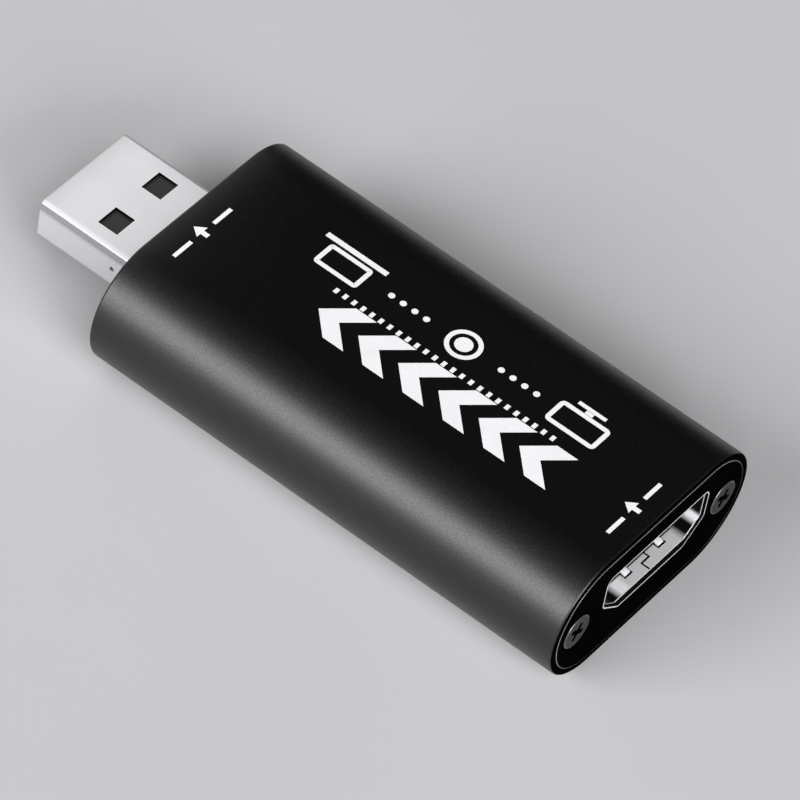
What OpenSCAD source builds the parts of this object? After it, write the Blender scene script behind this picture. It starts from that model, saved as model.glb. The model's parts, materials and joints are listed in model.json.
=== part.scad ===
// Video capture stick.
// A black extruded aluminium sleeve is closed by two screwed end plates. A circuit
// board slides into rails inside the sleeve. It carries a digital video socket at
// the front and a host plug at the rear.
// +Y points out of the host plug, +Z is up and X runs across. The origin is the
// middle of the sleeve's flat underside. All sizes are in millimetres.

/* [Sleeve] */
// Width over the round sides
body_w = 28; // [25.2:0.1:34]
// Height between the flat faces
body_h = 13; // [12.5:0.1:15]
// Length of the extrusion
body_len = 51.5; // [49:0.5:70]
// Wall thickness
wall = 1.3; // [1.1:0.05:1.6]
// Rim that stays round each end plate
rim = 0.7; // [0.6:0.05:0.9]
// Bevel on the outer edge of both ends
end_bevel = 0.25; // [0.1:0.05:0.5]
// Radius of the two screw bosses
boss_r = 2; // [1.7:0.05:2.1]
// Thickness of the web that ties a boss to the side wall
web_t = 1.6; // [1:0.1:2.4]
// Thickness of the rails under the board
rail_t = 0.9; // [0.6:0.05:1.2]
// How far the rails reach under the board
rail_reach = 1.6; // [1:0.1:2]

/* [End plates] */
// Thickness of an end plate, flush with the end of the sleeve
plate_t = 1.5; // [1.4:0.05:2]
// Gap between a plate and the rim, and round what passes through it
plate_gap = 0.06; // [0.03:0.01:0.12]
// Bevel on a plate's outer edge
plate_bevel = 0.1; // [0.05:0.05:0.25]

/* [Screws] */
// Outer radius of the thread
screw_r = 1; // [0.9:0.05:1.1]
// Length under the top of the head
screw_len = 6; // [4:0.5:8]
// Radius of the countersunk head
head_r = 1.75; // [1.6:0.05:1.95]
// Height of the straight edge of the head
head_edge = 0.25; // [0.18:0.01:0.3]
// How far a head stands out of its plate
head_proud = 0.05; // [0.02:0.01:0.16]
// Gap round a screw in its plate
screw_gap = 0.05; // [0.03:0.01:0.1]
// Gap between the thread and the channel in its boss
thread_gap = 0.02; // [0.01:0.01:0.05]
// Span of the cross recess
recess_span = 2; // [1.6:0.1:2.4]
// Width of one slot of the cross recess
recess_slot = 0.5; // [0.4:0.05:0.7]
// Depth of the cross recess
recess_depth = 0.7; // [0.4:0.05:0.9]

/* [Circuit board] */
// Board thickness
board_t = 1.2; // [1:0.1:1.6]
// Gap over the board, under the screw bosses
board_gap = 0.2; // [0.1:0.05:0.3]
// Gap between the board's long edges and the wall
board_side_gap = 0.2; // [0.1:0.05:0.4]
// Gap between the board's short edges and the plates
board_end_gap = 0.2; // [0.1:0.05:0.4]
// Gap round a leg in its slot in the board
slot_gap = 0.12; // [0.08:0.02:0.2]

/* [Video socket] */
// Sideways place of the socket's axis
socket_x = 0.45; // [0:0.05:0.5]
// Inside width of the mouth
socket_w = 14; // [13.8:0.05:14.2]
// Inside height of the mouth
socket_h = 4.55; // [4.4:0.05:4.7]
// Straight height of the mouth's sides under its axis
socket_drop = 0.75; // [0.5:0.05:1]
// Width of the slanted lower corners
socket_slant = 2; // [1.6:0.1:2.4]
// Rounding of the inside corners
socket_round = 0.5; // [0.3:0.05:0.7]
// Sheet thickness of the shell
socket_sheet = 0.3; // [0.25:0.01:0.35]
// Length of the shell
socket_len = 10.8; // [10.4:0.1:12]
// How far the lip of the mouth flares out at its sides
lip_side = 0.03; // [0.01:0.01:0.1]
// How far the lip flares out at its top
lip_top = 0.16; // [0.05:0.01:0.2]
// How far the lip flares out at its bottom
lip_bottom = 0.35; // [0.1:0.01:0.4]
// Depth of the flared lip
lip_depth = 0.25; // [0.2:0.01:0.5]
// Thickness of the lip's front edge
lip_edge = 0.12; // [0.08:0.01:0.2]
// Height of the shell over the board
socket_standoff = 0.42; // [0.3:0.02:0.6]
// Width of the stepped seam in the floor
seam_w = 0.18; // [0.06:0.01:0.22]
// Sideways step of the seam
seam_step = 1.1; // [0.8:0.1:1.6]
// Length of one step of the seam
seam_run = 2.9; // [2.4:0.1:3.4]
// Depth of the seam's first step behind the mouth
seam_start = 1.2; // [0.8:0.1:1.6]
// Width of a leg of the shell
leg_w = 1.2; // [0.8:0.1:1.6]
// How far the legs come out under the board
leg_out = 0.5; // [0.3:0.1:0.8]
// Distance from the mouth to the front legs
leg_front = 2.6; // [2.4:0.1:3.5]
// Distance from the shell's rear end to the rear legs
leg_rear = 2.2; // [1.4:0.1:3]

/* [Socket springs] */
// Sideways place of the seam and the springs on the shell
spring_mid = 0.75; // [0:0.05:1]
// Distance of a spring from the seam's middle
spring_x = 2.4; // [2:0.1:3]
// Width of a spring
spring_w = 0.75; // [0.6:0.05:1.2]
// Thickness of a spring
spring_t = 0.22; // [0.18:0.01:0.24]
// Length from root to tip
spring_len = 4; // [3.6:0.1:4.4]
// Depth of the tip behind the mouth
spring_tip = 1.3; // [1.2:0.05:1.8]
// Gap round a spring in its window
spring_gap = 0.17; // [0.12:0.01:0.2]
// Inward slope of a spring at rest, in degrees
spring_slope = 5; // [3:0.5:6]
// Length of the tip that is turned outwards
ski_len = 0.5; // [0.4:0.05:0.6]
// Outward turn of that tip, in degrees
ski_turn = 20; // [15:1:25]
// How far the rounded root stands out of the leaf
root_bulge = 0.02; // [0.01:0.01:0.03]

/* [Socket insulator] */
// Depth of the back wall behind the mouth
socket_deep = 8.5; // [8:0.1:9]
// Width of the tongue
tongue_w = 11.2; // [10.8:0.1:11.6]
// Thickness of the tongue
tongue_t = 1.3; // [1.1:0.05:1.5]
// Depth of the tongue's front edge behind the mouth
tongue_back = 2; // [1.6:0.1:2.6]
// Gap between the insulator and its shell
insulator_gap = 0.04; // [0.02:0.01:0.08]
// Pitch of the contacts in one row
contact_pitch = 1; // [0.95:0.01:1.05]
// Contacts in the upper row; the lower row has one less
contact_count = 10; // [6:1:10]
// Width of a contact
contact_w = 0.3; // [0.24:0.02:0.34]
// Thickness of a contact
contact_t = 0.12; // [0.08:0.01:0.16]
// Length of a contact's foot on the board
contact_foot = 1; // [0.6:0.1:1.2]
// Distance from the tongue's front edge to its contacts
contact_front = 0.5; // [0.3:0.1:0.8]
// Distance from the shell's rear end to where the contacts drop to the board
contact_drop = 0.2; // [0.1:0.05:0.4]

/* [Host plug] */
// Width of the plug's shell
plug_w = 12; // [11.9:0.05:12.1]
// Height of the plug's shell
plug_h = 4.5; // [4.4:0.05:4.6]
// Rounding of the shell's outer corners
plug_round = 0.6; // [0.45:0.05:0.8]
// Sheet thickness of the shell
plug_sheet = 0.3; // [0.25:0.01:0.35]
// Length outside the sleeve
plug_out = 12.5; // [11.8:0.1:14]
// Whole length of the shell
plug_len = 18.75; // [18:0.25:21]
// Depth of the space at its mouth
plug_deep = 9.7; // [9:0.1:10.5]
// Distance from the tip to the latch windows
window_back = 5.16; // [4.9:0.02:5.4]
// Length of a latch window along the plug
window_len = 2.2; // [2:0.05:2.4]
// Width of a latch window
window_w = 2.5; // [2.2:0.05:2.8]
// Distance of a latch window from the middle
window_x = 3; // [2.7:0.05:3.3]
// Radius of the locating hole in each side
pip_r = 0.25; // [0.15:0.05:0.35]
// Distance from the tip to the locating holes
pip_back = 8.5; // [8:0.1:9.2]
// Height of the plug's insulator tongue
plug_tongue_h = 1.84; // [1.7:0.02:1.95]
// Distance of the insulator's front edge from the tip
plug_tongue_back = 0.4; // [0.2:0.05:0.8]
// Width of a plug contact
plug_contact_w = 1; // [0.9:0.05:1.1]
// Thickness of a plug contact
plug_contact_t = 0.2; // [0.15:0.01:0.25]
// Spacing of the two inner contacts
plug_inner_pitch = 2; // [1.9:0.05:2.1]
// Spacing of the two outer contacts
plug_outer_pitch = 7; // [6.9:0.05:7.1]
// Distance from the tip to the outer contacts' front ends
plug_contact_back = 1.4; // [1.2:0.1:1.8]
// How much shorter the inner contacts are
plug_contact_step = 1; // [0.8:0.1:1.2]
// How far the insulator shows behind the shell
block_out = 0.4; // [0.2:0.1:0.6]
// Distance from the insulator to where the contacts drop to the board
plug_drop = 0.2; // [0.15:0.05:0.4]
// Length of a plug contact's foot on the board
plug_foot = 1.2; // [0.8:0.1:1.6]
// Width of a wing that rests on the board
wing_w = 1.7; // [1.2:0.1:2]
// Length of a wing along the plug
wing_len = 2; // [1.4:0.1:2.6]

/* [Parts on the board] */
// Gap between neighbouring parts
part_gap = 0.7; // [0.4:0.1:1]
// Width of the clear lane along the middle of the board's rear half
lane_w = 1.4; // [1:0.1:2]
// Thickness of a chip's leads
lead_t = 0.15; // [0.1:0.01:0.2]
// How far leads reach out from a chip's body
lead_reach = 1; // [0.8:0.05:1.2]
// Length of a lead before it drops to the board
lead_knee = 0.4; // [0.3:0.05:0.5]
// Height of a chip's body over the board
chip_lift = 0.1; // [0.05:0.01:0.15]
// Radius of the dimple that marks a chip's first lead
dimple_r = 0.3; // [0.2:0.05:0.35]
// Distance of the dimple from a chip's edges
dimple_inset = 0.7; // [0.6:0.05:0.75]
// Depth of the dimple
dimple_deep = 0.1; // [0.05:0.01:0.2]
// Side of the capture chip's body
chip_side = 7; // [6.5:0.1:7]
// Height of the capture chip's body
chip_h = 1.4; // [1:0.1:1.6]
// Leads on each side of the capture chip
chip_leads = 12; // [8:1:12]
// Pitch of those leads
chip_pitch = 0.5; // [0.45:0.01:0.52]
// Width of those leads
chip_lead_w = 0.22; // [0.18:0.01:0.27]
// Length of the memory chip's body
memory_len = 4.9; // [4.6:0.1:5]
// Width of the memory chip's body
memory_w = 3.9; // [3.6:0.1:4]
// Height of the memory chip's body
memory_h = 1.4; // [1.2:0.1:1.6]
// Pitch of the memory chip's leads
memory_pitch = 1.27; // [1.2:0.01:1.3]
// Width of the leads of the memory chip and the regulators
wide_lead_w = 0.4; // [0.3:0.05:0.5]
// Length of a regulator's body
regulator_len = 2.9; // [2.7:0.05:3.1]
// Width of a regulator's body
regulator_w = 1.6; // [1.5:0.05:1.7]
// Height of a regulator's body
regulator_h = 1.1; // [0.9:0.05:1.2]
// Pitch of a regulator's leads
regulator_pitch = 0.95; // [0.9:0.01:1]
// Length of the crystal's can
crystal_len = 3.2; // [3:0.1:3.4]
// Width of the crystal's can
crystal_w = 2.5; // [2.2:0.1:2.6]
// Height of the crystal's base
crystal_base_h = 0.4; // [0.3:0.05:0.5]
// Height of the can on the base
crystal_can_h = 0.4; // [0.3:0.05:0.5]
// Step between the base and the can
crystal_step = 0.15; // [0.1:0.05:0.25]
// Side of the inductor
inductor_side = 3; // [2.6:0.1:3.2]
// Height of the inductor
inductor_h = 1.2; // [1:0.1:1.4]
// Width of an end strap of the inductor
strap_w = 0.6; // [0.4:0.05:0.8]
// Length of a capacitor
cap_len = 1.6; // [1.4:0.05:1.7]
// Width and height of a capacitor
cap_w = 0.8; // [0.7:0.05:0.9]
// Length of a capacitor's metal end
cap_end = 0.3; // [0.2:0.05:0.4]
// Length of a resistor
res_len = 1; // [0.9:0.05:1.1]
// Width of a resistor
res_w = 0.5; // [0.45:0.01:0.55]
// Height of a resistor
res_h = 0.35; // [0.3:0.01:0.4]
// Length of a resistor's metal end
res_end = 0.2; // [0.15:0.05:0.3]
// Length of a surge array
surge_len = 2.5; // [2.2:0.1:2.6]
// Width of a surge array
surge_w = 1; // [0.9:0.05:1.1]
// Height of a surge array
surge_h = 0.5; // [0.4:0.05:0.6]

/* [Hidden] */
$fn = 96;
cut = 1;                     // extra length of a cutter past the face that it leaves
nick = 0.01;                 // overlap of two cutters that meet at one outline
arc_steps = 5;               // flats in a rounded sheet-metal corner

// Ends of the sleeve, the plates' seats, and the screws midway between socket and rim
front_y = -body_len / 2;
rear_y = body_len / 2;
mid_z = body_h / 2;
plate_half = body_w / 2 - rim - plate_gap;
lip_half = socket_x + socket_w / 2 + socket_sheet + lip_side;
boss_x = (plate_half + lip_half) / 2;

// Board, held between the rails below and the screw bosses above
board_top = mid_z - boss_r - board_gap;
board_z = board_top - board_t;
cavity_r = body_h / 2 - wall;
board_half = (body_w - body_h) / 2 + sqrt(pow(cavity_r, 2) - pow(mid_z - board_z, 2)) - board_side_gap;
board_front = front_y + plate_t + board_end_gap;
board_rear = rear_y - plate_t - board_end_gap;

// Video socket, standing on the board with its mouth level with the sleeve's end
socket_z = board_top + socket_standoff + socket_sheet + socket_h / 2;
slant_l = norm([socket_slant, socket_h / 2 - socket_drop]);
slant_n = [(socket_h / 2 - socket_drop) / slant_l, -socket_slant / slant_l];
tongue_top = socket_z + tongue_t / 2;
tongue_floor = socket_z - tongue_t / 2;
tail_y = front_y + socket_len + contact_drop;
tail_end = tail_y + contact_t + contact_foot;
leg_y = [front_y + leg_front, front_y + socket_len - leg_rear];
spring_root_r = spring_t / 2 + root_bulge;
spring_y = front_y + spring_tip + spring_len;
left_x = socket_x + spring_mid - spring_x;
right_x = socket_x + spring_mid + spring_x;
top_z = socket_z + (socket_h + socket_sheet) / 2;
floor_z = socket_z - (socket_h + socket_sheet) / 2;

// Host plug, sunk into a notch in the board
plug_tip = rear_y + plug_out;
plug_back = plug_tip - plug_len;
plug_z = board_z + plug_h / 2;
plug_deck = plug_z + plug_h / 2 - plug_sheet - plug_tongue_h;
plug_contact_z = plug_deck - plug_contact_t;
plug_in_w = plug_w - 2 * plug_sheet;
plug_in_h = plug_h - 2 * plug_sheet;
plug_tail = plug_back - block_out - plug_drop;
plug_foot_end = plug_tail - plug_contact_t - plug_foot;
notch_y = plug_back - block_out - slot_gap;

// Places of the front parts on the board, in order from the socket's feet
surge_y = tail_end + part_gap + surge_w / 2;
surge_x = (surge_len + part_gap) / 2;
res_row_y = surge_y + surge_w / 2 + part_gap + res_len / 2;
chip_edge = chip_side / 2 + lead_reach;
chip_y = res_row_y + res_len / 2 + part_gap + chip_edge;
crystal_x = chip_edge + part_gap + crystal_w / 2;
cap_column_x = -(chip_edge + part_gap + cap_w / 2);

// Places of the rear parts, in order from the plug's feet, on both sides of the lane
memory_x = -(lane_w / 2 + lead_reach + memory_w / 2);
memory_y = plug_foot_end - part_gap - memory_len / 2;
memory_res_y = memory_y - memory_len / 2 - part_gap - res_len / 2;
regulator_x = lane_w / 2 + lead_reach + regulator_w / 2;
port_regulator_y = plug_foot_end - part_gap - regulator_len / 2;
core_regulator_y = port_regulator_y - part_gap - regulator_len;
inductor_x = lane_w / 2 + inductor_side / 2;
inductor_y = core_regulator_y - regulator_len / 2 - part_gap - inductor_side / 2;
regulator_cap_x = regulator_x + regulator_w / 2 + lead_reach + part_gap + cap_w / 2;
cap_places = [
    for (k = [-1.5:1:1.5]) [cap_column_x, chip_y + (cap_len + part_gap) * k],
    for (y = [port_regulator_y, core_regulator_y]) [regulator_cap_x, y]
];
res_places = [
    for (k = [-2:2]) [(res_w + part_gap) * k, res_row_y],
    for (k = [-1:1]) [memory_x + (res_w + part_gap) * k, memory_res_y]
];

// Geometry helpers

// Extrudes an outline drawn in X and Z along +Y
module along_y(y, length) {
    translate([0, y + length, 0]) rotate([90, 0, 0]) linear_extrude(length) children();
}

// Extrudes an outline drawn in Y and Z along +X, centred on x
module along_x(x, length) {
    translate([x - length / 2, 0, 0]) rotate([90, 0, 90]) linear_extrude(length) children();
}

// Box from its middle in X and Y and from its underside
module block(x, y, z, size) {
    translate([x - size[0] / 2, y - size[1] / 2, z]) cube(size);
}

// Flat-sided outline with full-round ends
module stadium(w, h) {
    square([w - h, h], center = true);
    for (s = [-1, 1]) translate([s * (w - h) / 2, 0]) circle(d = h);
}

// Solid stadium from y over a length, bevelled at its front and rear edges
module bevelled_stadium(w, h, y, length, front_bevel, rear_bevel) {
    r = h / 2;
    edge = [[r - front_bevel, 0], [r, front_bevel], [r, length - rear_bevel], [r - rear_bevel, length]];
    slab = concat(edge, [for (k = [3:-1:0]) [-edge[k][0], edge[k][1]]]);
    translate([0, y, 0]) {
        rotate([-90, 0, 0]) translate([-(w - h) / 2, 0, 0]) rotate([90, 0, 90])
            linear_extrude(w - h) polygon(slab);
        for (s = [-1, 1]) translate([s * (w - h) / 2, 0, 0]) rotate([-90, 0, 0])
            rotate_extrude() polygon(concat([[0, 0]], edge, [[0, length]]));
    }
}

function unit(v) = v / norm(v);

// Points of an arc of radius r that rounds the corner at b between a and c
function corner_arc(a, b, c, r) =
    let (u = unit(a - b), v = unit(c - b), half = acos(u * v) / 2)
    let (middle = b + unit(u + v) * r / sin(half), along = r / tan(half))
    let (p = b + u * along - middle, q = b + v * along - middle)
    let (start = atan2(p[1], p[0]), turn = atan2(p[0] * q[1] - p[1] * q[0], p * q))
    [for (k = [0:arc_steps]) let (at = start + turn * k / arc_steps) middle + r * [cos(at), sin(at)]];

function rounded(points, r) =
    let (n = len(points))
    [for (k = [0:n - 1]) each corner_arc(points[(k + n - 1) % n], points[k], points[(k + 1) % n], r)];

// Outline of the socket's mouth about its axis, moved outwards by side, top and bottom
function mouth(side, top, bottom) =
    let (hw = socket_w / 2, hh = socket_h / 2)
    let (knee = [hw + side, -socket_drop + side * (1 - slant_n[0]) / slant_n[1]])
    let (toe = [hw - socket_slant + (side + bottom * slant_n[1]) / slant_n[0], -hh - bottom])
    let (right = [toe, knee, [hw + side, hh + top]])
    rounded(concat(right, [for (k = [2:-1:0]) [-right[k][0], right[k][1]]]), socket_round + side);

// The same outline moved outwards evenly, and the outline of the flared lip moved likewise
function even_mouth(grow) = mouth(grow, grow, grow);
function lip(grow) =
    let (g = socket_sheet + grow)
    mouth(g + lip_side, g + lip_top, g + lip_bottom);

// Solid between outline a at y0 and outline b at y1, about the socket's axis
module mouth_loft(a, y0, b, y1) {
    n = len(a);
    points = concat([for (p = a) [p[0], y0, p[1] + socket_z]], [for (p = b) [p[0], y1, p[1] + socket_z]]);
    sides = [for (k = [0:n - 1]) [k, (k + 1) % n, n + (k + 1) % n, n + k]];
    polyhedron(points, concat(sides, [[for (k = [n - 1:-1:0]) k]], [[for (k = [0:n - 1]) n + k]]));
}

function rounded_box(w, h, r) =
    rounded([[w / 2, -h / 2], [w / 2, h / 2], [-w / 2, h / 2], [-w / 2, -h / 2]], r);

// Side outline of a bent contact that lies at z, starts at y0, drops at y1 and ends in a foot
function bent_contact(y0, y1, z, t, foot, way) = [
    [y0, z], [y0, z + t], [y1 + way * t, z + t], [y1 + way * t, board_top + t],
    [y1 + way * (t + foot), board_top + t], [y1 + way * (t + foot), board_top], [y1, board_top], [y1, z]
];

// Sleeve and end plates

// Space inside the sleeve, less the bosses, their webs and the rails
module cavity_outline() {
    difference() {
        translate([0, mid_z]) stadium(body_w - 2 * wall, body_h - 2 * wall);
        for (s = [-1, 1]) {
            translate([s * boss_x, mid_z]) circle(r = boss_r);
            translate([s * (boss_x + body_w / 4), mid_z]) square([body_w / 2, web_t], center = true);
            translate([s * (board_half - rail_reach + body_w / 4), board_z - rail_t / 2])
                square([body_w / 2, rail_t], center = true);
        }
    }
}

module sleeve() {
    color("#141416") difference() {
        translate([0, 0, mid_z]) bevelled_stadium(body_w, body_h, front_y, body_len, end_bevel, end_bevel);
        along_y(front_y - cut, body_len + 2 * cut) cavity_outline();
        for (y = [front_y - cut, rear_y - plate_t])
            along_y(y, plate_t + cut) translate([0, mid_z]) stadium(body_w - 2 * rim, body_h - 2 * rim);
        for (s = [-1, 1]) along_y(front_y - cut, body_len + 2 * cut)
            translate([s * boss_x, mid_z]) circle(r = screw_r + thread_gap);
    }
}

// Head outline of a screw, grown by gap, with its top at 0
function head_outline(gap, over) = [
    [0, over], [head_r + gap, over], [head_r + gap, -head_edge],
    [screw_r + gap, -head_edge - head_r + screw_r], [0, -head_edge - head_r + screw_r]
];

// Cutter for a screw in a plate whose outer face is at y, facing the way given
module screw_hole(x, y, way) {
    translate([x, y + way * head_proud, mid_z]) rotate([-90 * way, 0, 0]) {
        rotate_extrude() polygon(head_outline(screw_gap, cut));
        translate([0, 0, -plate_t - cut]) cylinder(r = screw_r + screw_gap, h = plate_t + cut);
    }
}

module plate_blank(y, front_bevel, rear_bevel) {
    gap = rim + plate_gap;
    translate([0, 0, mid_z])
        bevelled_stadium(body_w - 2 * gap, body_h - 2 * gap, y, plate_t, front_bevel, rear_bevel);
}

module front_plate() {
    color("#0b0b0c") difference() {
        plate_blank(front_y, plate_bevel, 0);
        for (s = [-1, 1]) screw_hole(s * boss_x, front_y, -1);
        along_y(front_y - cut, plate_t + 2 * cut) translate([socket_x, socket_z]) polygon(lip(plate_gap));
    }
}

module rear_plate() {
    color("#0b0b0c") difference() {
        plate_blank(rear_y - plate_t, 0, plate_bevel);
        for (s = [-1, 1]) screw_hole(s * boss_x, rear_y, 1);
        along_y(rear_y - plate_t - cut, plate_t + 2 * cut) translate([0, plug_z])
            polygon(rounded_box(plug_w + 2 * plate_gap, plug_h + 2 * plate_gap, plug_round + plate_gap));
    }
}

// Countersunk screw with a cross recess, its head's top at z = 0
module screw() {
    tip = screw_r / 3;
    head = head_outline(0, 0);
    difference() {
        rotate_extrude() polygon(concat(
            [for (k = [0:3]) head[k]],
            [[screw_r, tip - screw_len], [screw_r - tip, -screw_len], [0, -screw_len]]
        ));
        for (turn = [0, 90]) rotate([0, 0, turn])
            block(0, 0, -recess_depth, [recess_span, recess_slot, recess_depth + cut]);
    }
}

module front_plate_screws() {
    color("#5c5c60") for (s = [-1, 1])
        translate([s * boss_x, front_y - head_proud, mid_z]) rotate([90, 0, 0])
            rotate([0, 0, 45]) screw();
}

module rear_plate_screws() {
    color("#5c5c60") for (s = [-1, 1])
        translate([s * boss_x, rear_y + head_proud, mid_z]) rotate([-90, 0, 0])
            rotate([0, 0, 45]) screw();
}

// Circuit board

module circuit_board() {
    leg_slot = [socket_sheet + 2 * slot_gap, leg_w + 2 * slot_gap];
    notch_w = plug_w + 2 * slot_gap;
    color("#123d22") translate([0, 0, board_z]) linear_extrude(board_t) difference() {
        translate([-board_half, board_front]) square([2 * board_half, board_rear - board_front]);
        translate([-notch_w / 2, notch_y]) square([notch_w, board_rear - notch_y + cut]);
        for (s = [-1, 1], y = leg_y)
            translate([socket_x + s * (socket_w + socket_sheet) / 2, y]) square(leg_slot, center = true);
    }
}

// Video socket

// Cutter for the window of a spring through the wall at height z
module spring_window(x, z) {
    root = spring_root_r + spring_gap;
    translate([x - spring_w / 2 - spring_gap, spring_y - spring_len - spring_gap, z - socket_sheet])
        cube([spring_w + 2 * spring_gap, spring_len + spring_gap + root, 2 * socket_sheet]);
}

// Stepped seam where the bent sheet meets in the floor
module floor_seam() {
    steps = ceil(socket_len / seam_run);
    low = floor_z - socket_sheet;
    tall = 2 * socket_sheet;
    for (k = [0:steps]) {
        side = (k % 2 == 0 ? -1 : 1) * seam_step / 2;
        y = front_y + seam_start + (k - 1) * seam_run;
        block(spring_mid + side, y + seam_run / 2, low, [seam_w, seam_run + seam_w, tall]);
        block(spring_mid, y + seam_run, low, [seam_step + seam_w, seam_w, tall]);
    }
}

module socket_shell() {
    lip_y = front_y + lip_depth;
    outer = even_mouth(socket_sheet);
    inner = even_mouth(0);
    wide = lip(0);
    flared = lip(-lip_edge);
    leg_top = socket_z - socket_drop / 2;
    color("#c9c9cb") translate([socket_x, 0, 0]) {
        difference() {
            union() {
                along_y(lip_y, socket_len - lip_depth) translate([0, socket_z]) polygon(outer);
                mouth_loft(wide, front_y, outer, lip_y);
            }
            along_y(lip_y - nick, socket_len - lip_depth + cut) translate([0, socket_z]) polygon(inner);
            mouth_loft(flared, front_y - nick, inner, lip_y);
            for (s = [-1, 1], z = [top_z, floor_z]) spring_window(spring_mid + s * spring_x, z);
            floor_seam();
        }
        for (s = [-1, 1], y = leg_y)
            block(s * (socket_w + socket_sheet) / 2, y, board_z - leg_out,
                [socket_sheet, leg_w, leg_top - board_z + leg_out]);
    }
}

module socket_insulator() {
    deep_y = front_y + socket_deep;
    rear = front_y + socket_len;
    middle = (deep_y + rear) / 2;
    slot = [contact_w + 2 * insulator_gap, rear - deep_y + cut, contact_t + insulator_gap];
    color("#17171a") translate([socket_x, 0, 0]) difference() {
        union() {
            along_y(deep_y, rear - deep_y) translate([0, socket_z]) polygon(even_mouth(-insulator_gap));
            block(0, (front_y + tongue_back + deep_y) / 2 + cut / 2, tongue_floor,
                [tongue_w, deep_y - front_y - tongue_back + cut, tongue_t]);
        }
        for (k = [0:contact_count - 1])
            block(contact_pitch * (k - (contact_count - 1) / 2), middle, tongue_top, slot);
        for (k = [0:contact_count - 2])
            block(contact_pitch * (k - (contact_count - 2) / 2), middle, tongue_floor - slot[2], slot);
    }
}

// One row of socket contacts at height z
module contact_row(count, z) {
    start = front_y + tongue_back + contact_front;
    color("#d2a94f") for (k = [0:count - 1])
        along_x(socket_x + contact_pitch * (k - (count - 1) / 2), contact_w)
            polygon(bent_contact(start, tail_y, z, contact_t, contact_foot, 1));
}

module socket_upper_contacts() contact_row(contact_count, tongue_top);
module socket_lower_contacts() contact_row(contact_count - 1, tongue_floor - contact_t);

// Spring leaf of the shell. Its root is at the origin and it reaches towards the
// mouth, sloping into the socket, which lies on the side that inward gives.
module spring_leaf(inward) {
    half = spring_t / 2;
    bend = spring_len - ski_len;
    run = [cos(ski_turn), -sin(ski_turn)];
    lean = half * tan(ski_turn / 2);
    tip = [bend, 0] + ski_len * run;
    side = half * [sin(ski_turn), cos(ski_turn)];
    outline = [
        [0, -half], [bend - lean, -half], tip - side, tip + side, [bend + lean, half], [0, half]
    ];
    color("#d6d6d8") mirror([0, 0, inward > 0 ? 0 : 1]) rotate([-spring_slope, 0, 0]) {
        along_x(0, spring_w) mirror([1, 0]) polygon(outline);
        rotate([0, 90, 0]) cylinder(r = spring_root_r, h = spring_w, center = true);
    }
}

module spring_top_left() translate([left_x, spring_y, top_z]) spring_leaf(-1);
module spring_top_right() translate([right_x, spring_y, top_z]) spring_leaf(-1);
module spring_bottom_left() translate([left_x, spring_y, floor_z]) spring_leaf(1);
module spring_bottom_right() translate([right_x, spring_y, floor_z]) spring_leaf(1);

// Host plug

module plug_shell() {
    color("#cfcfd1") {
        difference() {
            along_y(plug_back, plug_len) translate([0, plug_z])
                polygon(rounded_box(plug_w, plug_h, plug_round));
            along_y(plug_back - cut, plug_len + 2 * cut) translate([0, plug_z])
                polygon(rounded_box(plug_in_w, plug_in_h, plug_round - plug_sheet));
            for (s = [-1, 1])
                block(s * window_x, plug_tip - window_back - window_len / 2, plug_z - plug_h / 2 - cut,
                    [window_w, window_len, plug_h + 2 * cut]);
            translate([0, plug_tip - pip_back, plug_z]) rotate([0, 90, 0])
                cylinder(r = pip_r, h = plug_w + cut, center = true);
        }
        for (s = [-1, 1])
            block(s * (plug_w + wing_w - plug_sheet) / 2, (plug_back + board_rear) / 2, board_top,
                [wing_w + plug_sheet, wing_len, plug_sheet]);
    }
}

// Middles of the four plug contacts, and how far each lies behind the foremost
plug_contact_x = [-plug_outer_pitch / 2, -plug_inner_pitch / 2, plug_inner_pitch / 2, plug_outer_pitch / 2];
plug_contact_lag = [0, plug_contact_step, plug_contact_step, 0];

// Block at the rear of the plug with a tongue under the shell's top, so that it shows in the windows
module plug_insulator() {
    back = plug_back - block_out;
    front = plug_tip - plug_deep;
    tongue_end = plug_tip - plug_tongue_back;
    w = plug_in_w - 2 * insulator_gap;
    h = plug_in_h - 2 * insulator_gap;
    color("#1b1b1d") difference() {
        along_y(back, tongue_end - back) translate([0, plug_z])
            polygon(rounded_box(w, h, plug_round - plug_sheet));
        block(0, front + plug_deep / 2, plug_deck - plug_h, [plug_w, plug_deep, plug_h]);
        for (x = plug_contact_x)
            block(x, (back + front) / 2, plug_contact_z - insulator_gap,
                [plug_contact_w + 2 * insulator_gap, front - back + cut, plug_contact_t + insulator_gap]);
    }
}

module plug_contacts() {
    color("#d2a94f") for (k = [0:3]) {
        start = plug_tip - plug_contact_back - plug_contact_lag[k];
        along_x(plug_contact_x[k], plug_contact_w)
            polygon(bent_contact(start, plug_tail, plug_contact_z, plug_contact_t, plug_foot, -1));
    }
}

// Parts on the board

// Row of bent leads along X, the body's side at y = 0, feet towards +Y
module lead_row(count, pitch, w, shoulder) {
    top = shoulder + lead_t;
    back = lead_knee + lead_t;
    outline = [
        [0, shoulder], [0, top], [back, top], [back, lead_t],
        [lead_reach, lead_t], [lead_reach, 0], [lead_knee, 0], [lead_knee, shoulder]
    ];
    for (k = [0:count - 1]) along_x(pitch * (k - (count - 1) / 2), w) polygon(outline);
}

// Moulded chip body that stands just over the board, with a dimple at its first lead
module chip_body(x, y, w, l, h) {
    color("#1d1d1f") translate([x, y, board_top + chip_lift]) difference() {
        block(0, 0, 0, [w, l, h]);
        translate([dimple_inset - w / 2, dimple_inset - l / 2, h - dimple_deep])
            cylinder(r = dimple_r, h = dimple_deep + cut);
    }
}

module capture_chip() chip_body(0, chip_y, chip_side, chip_side, chip_h);

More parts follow.
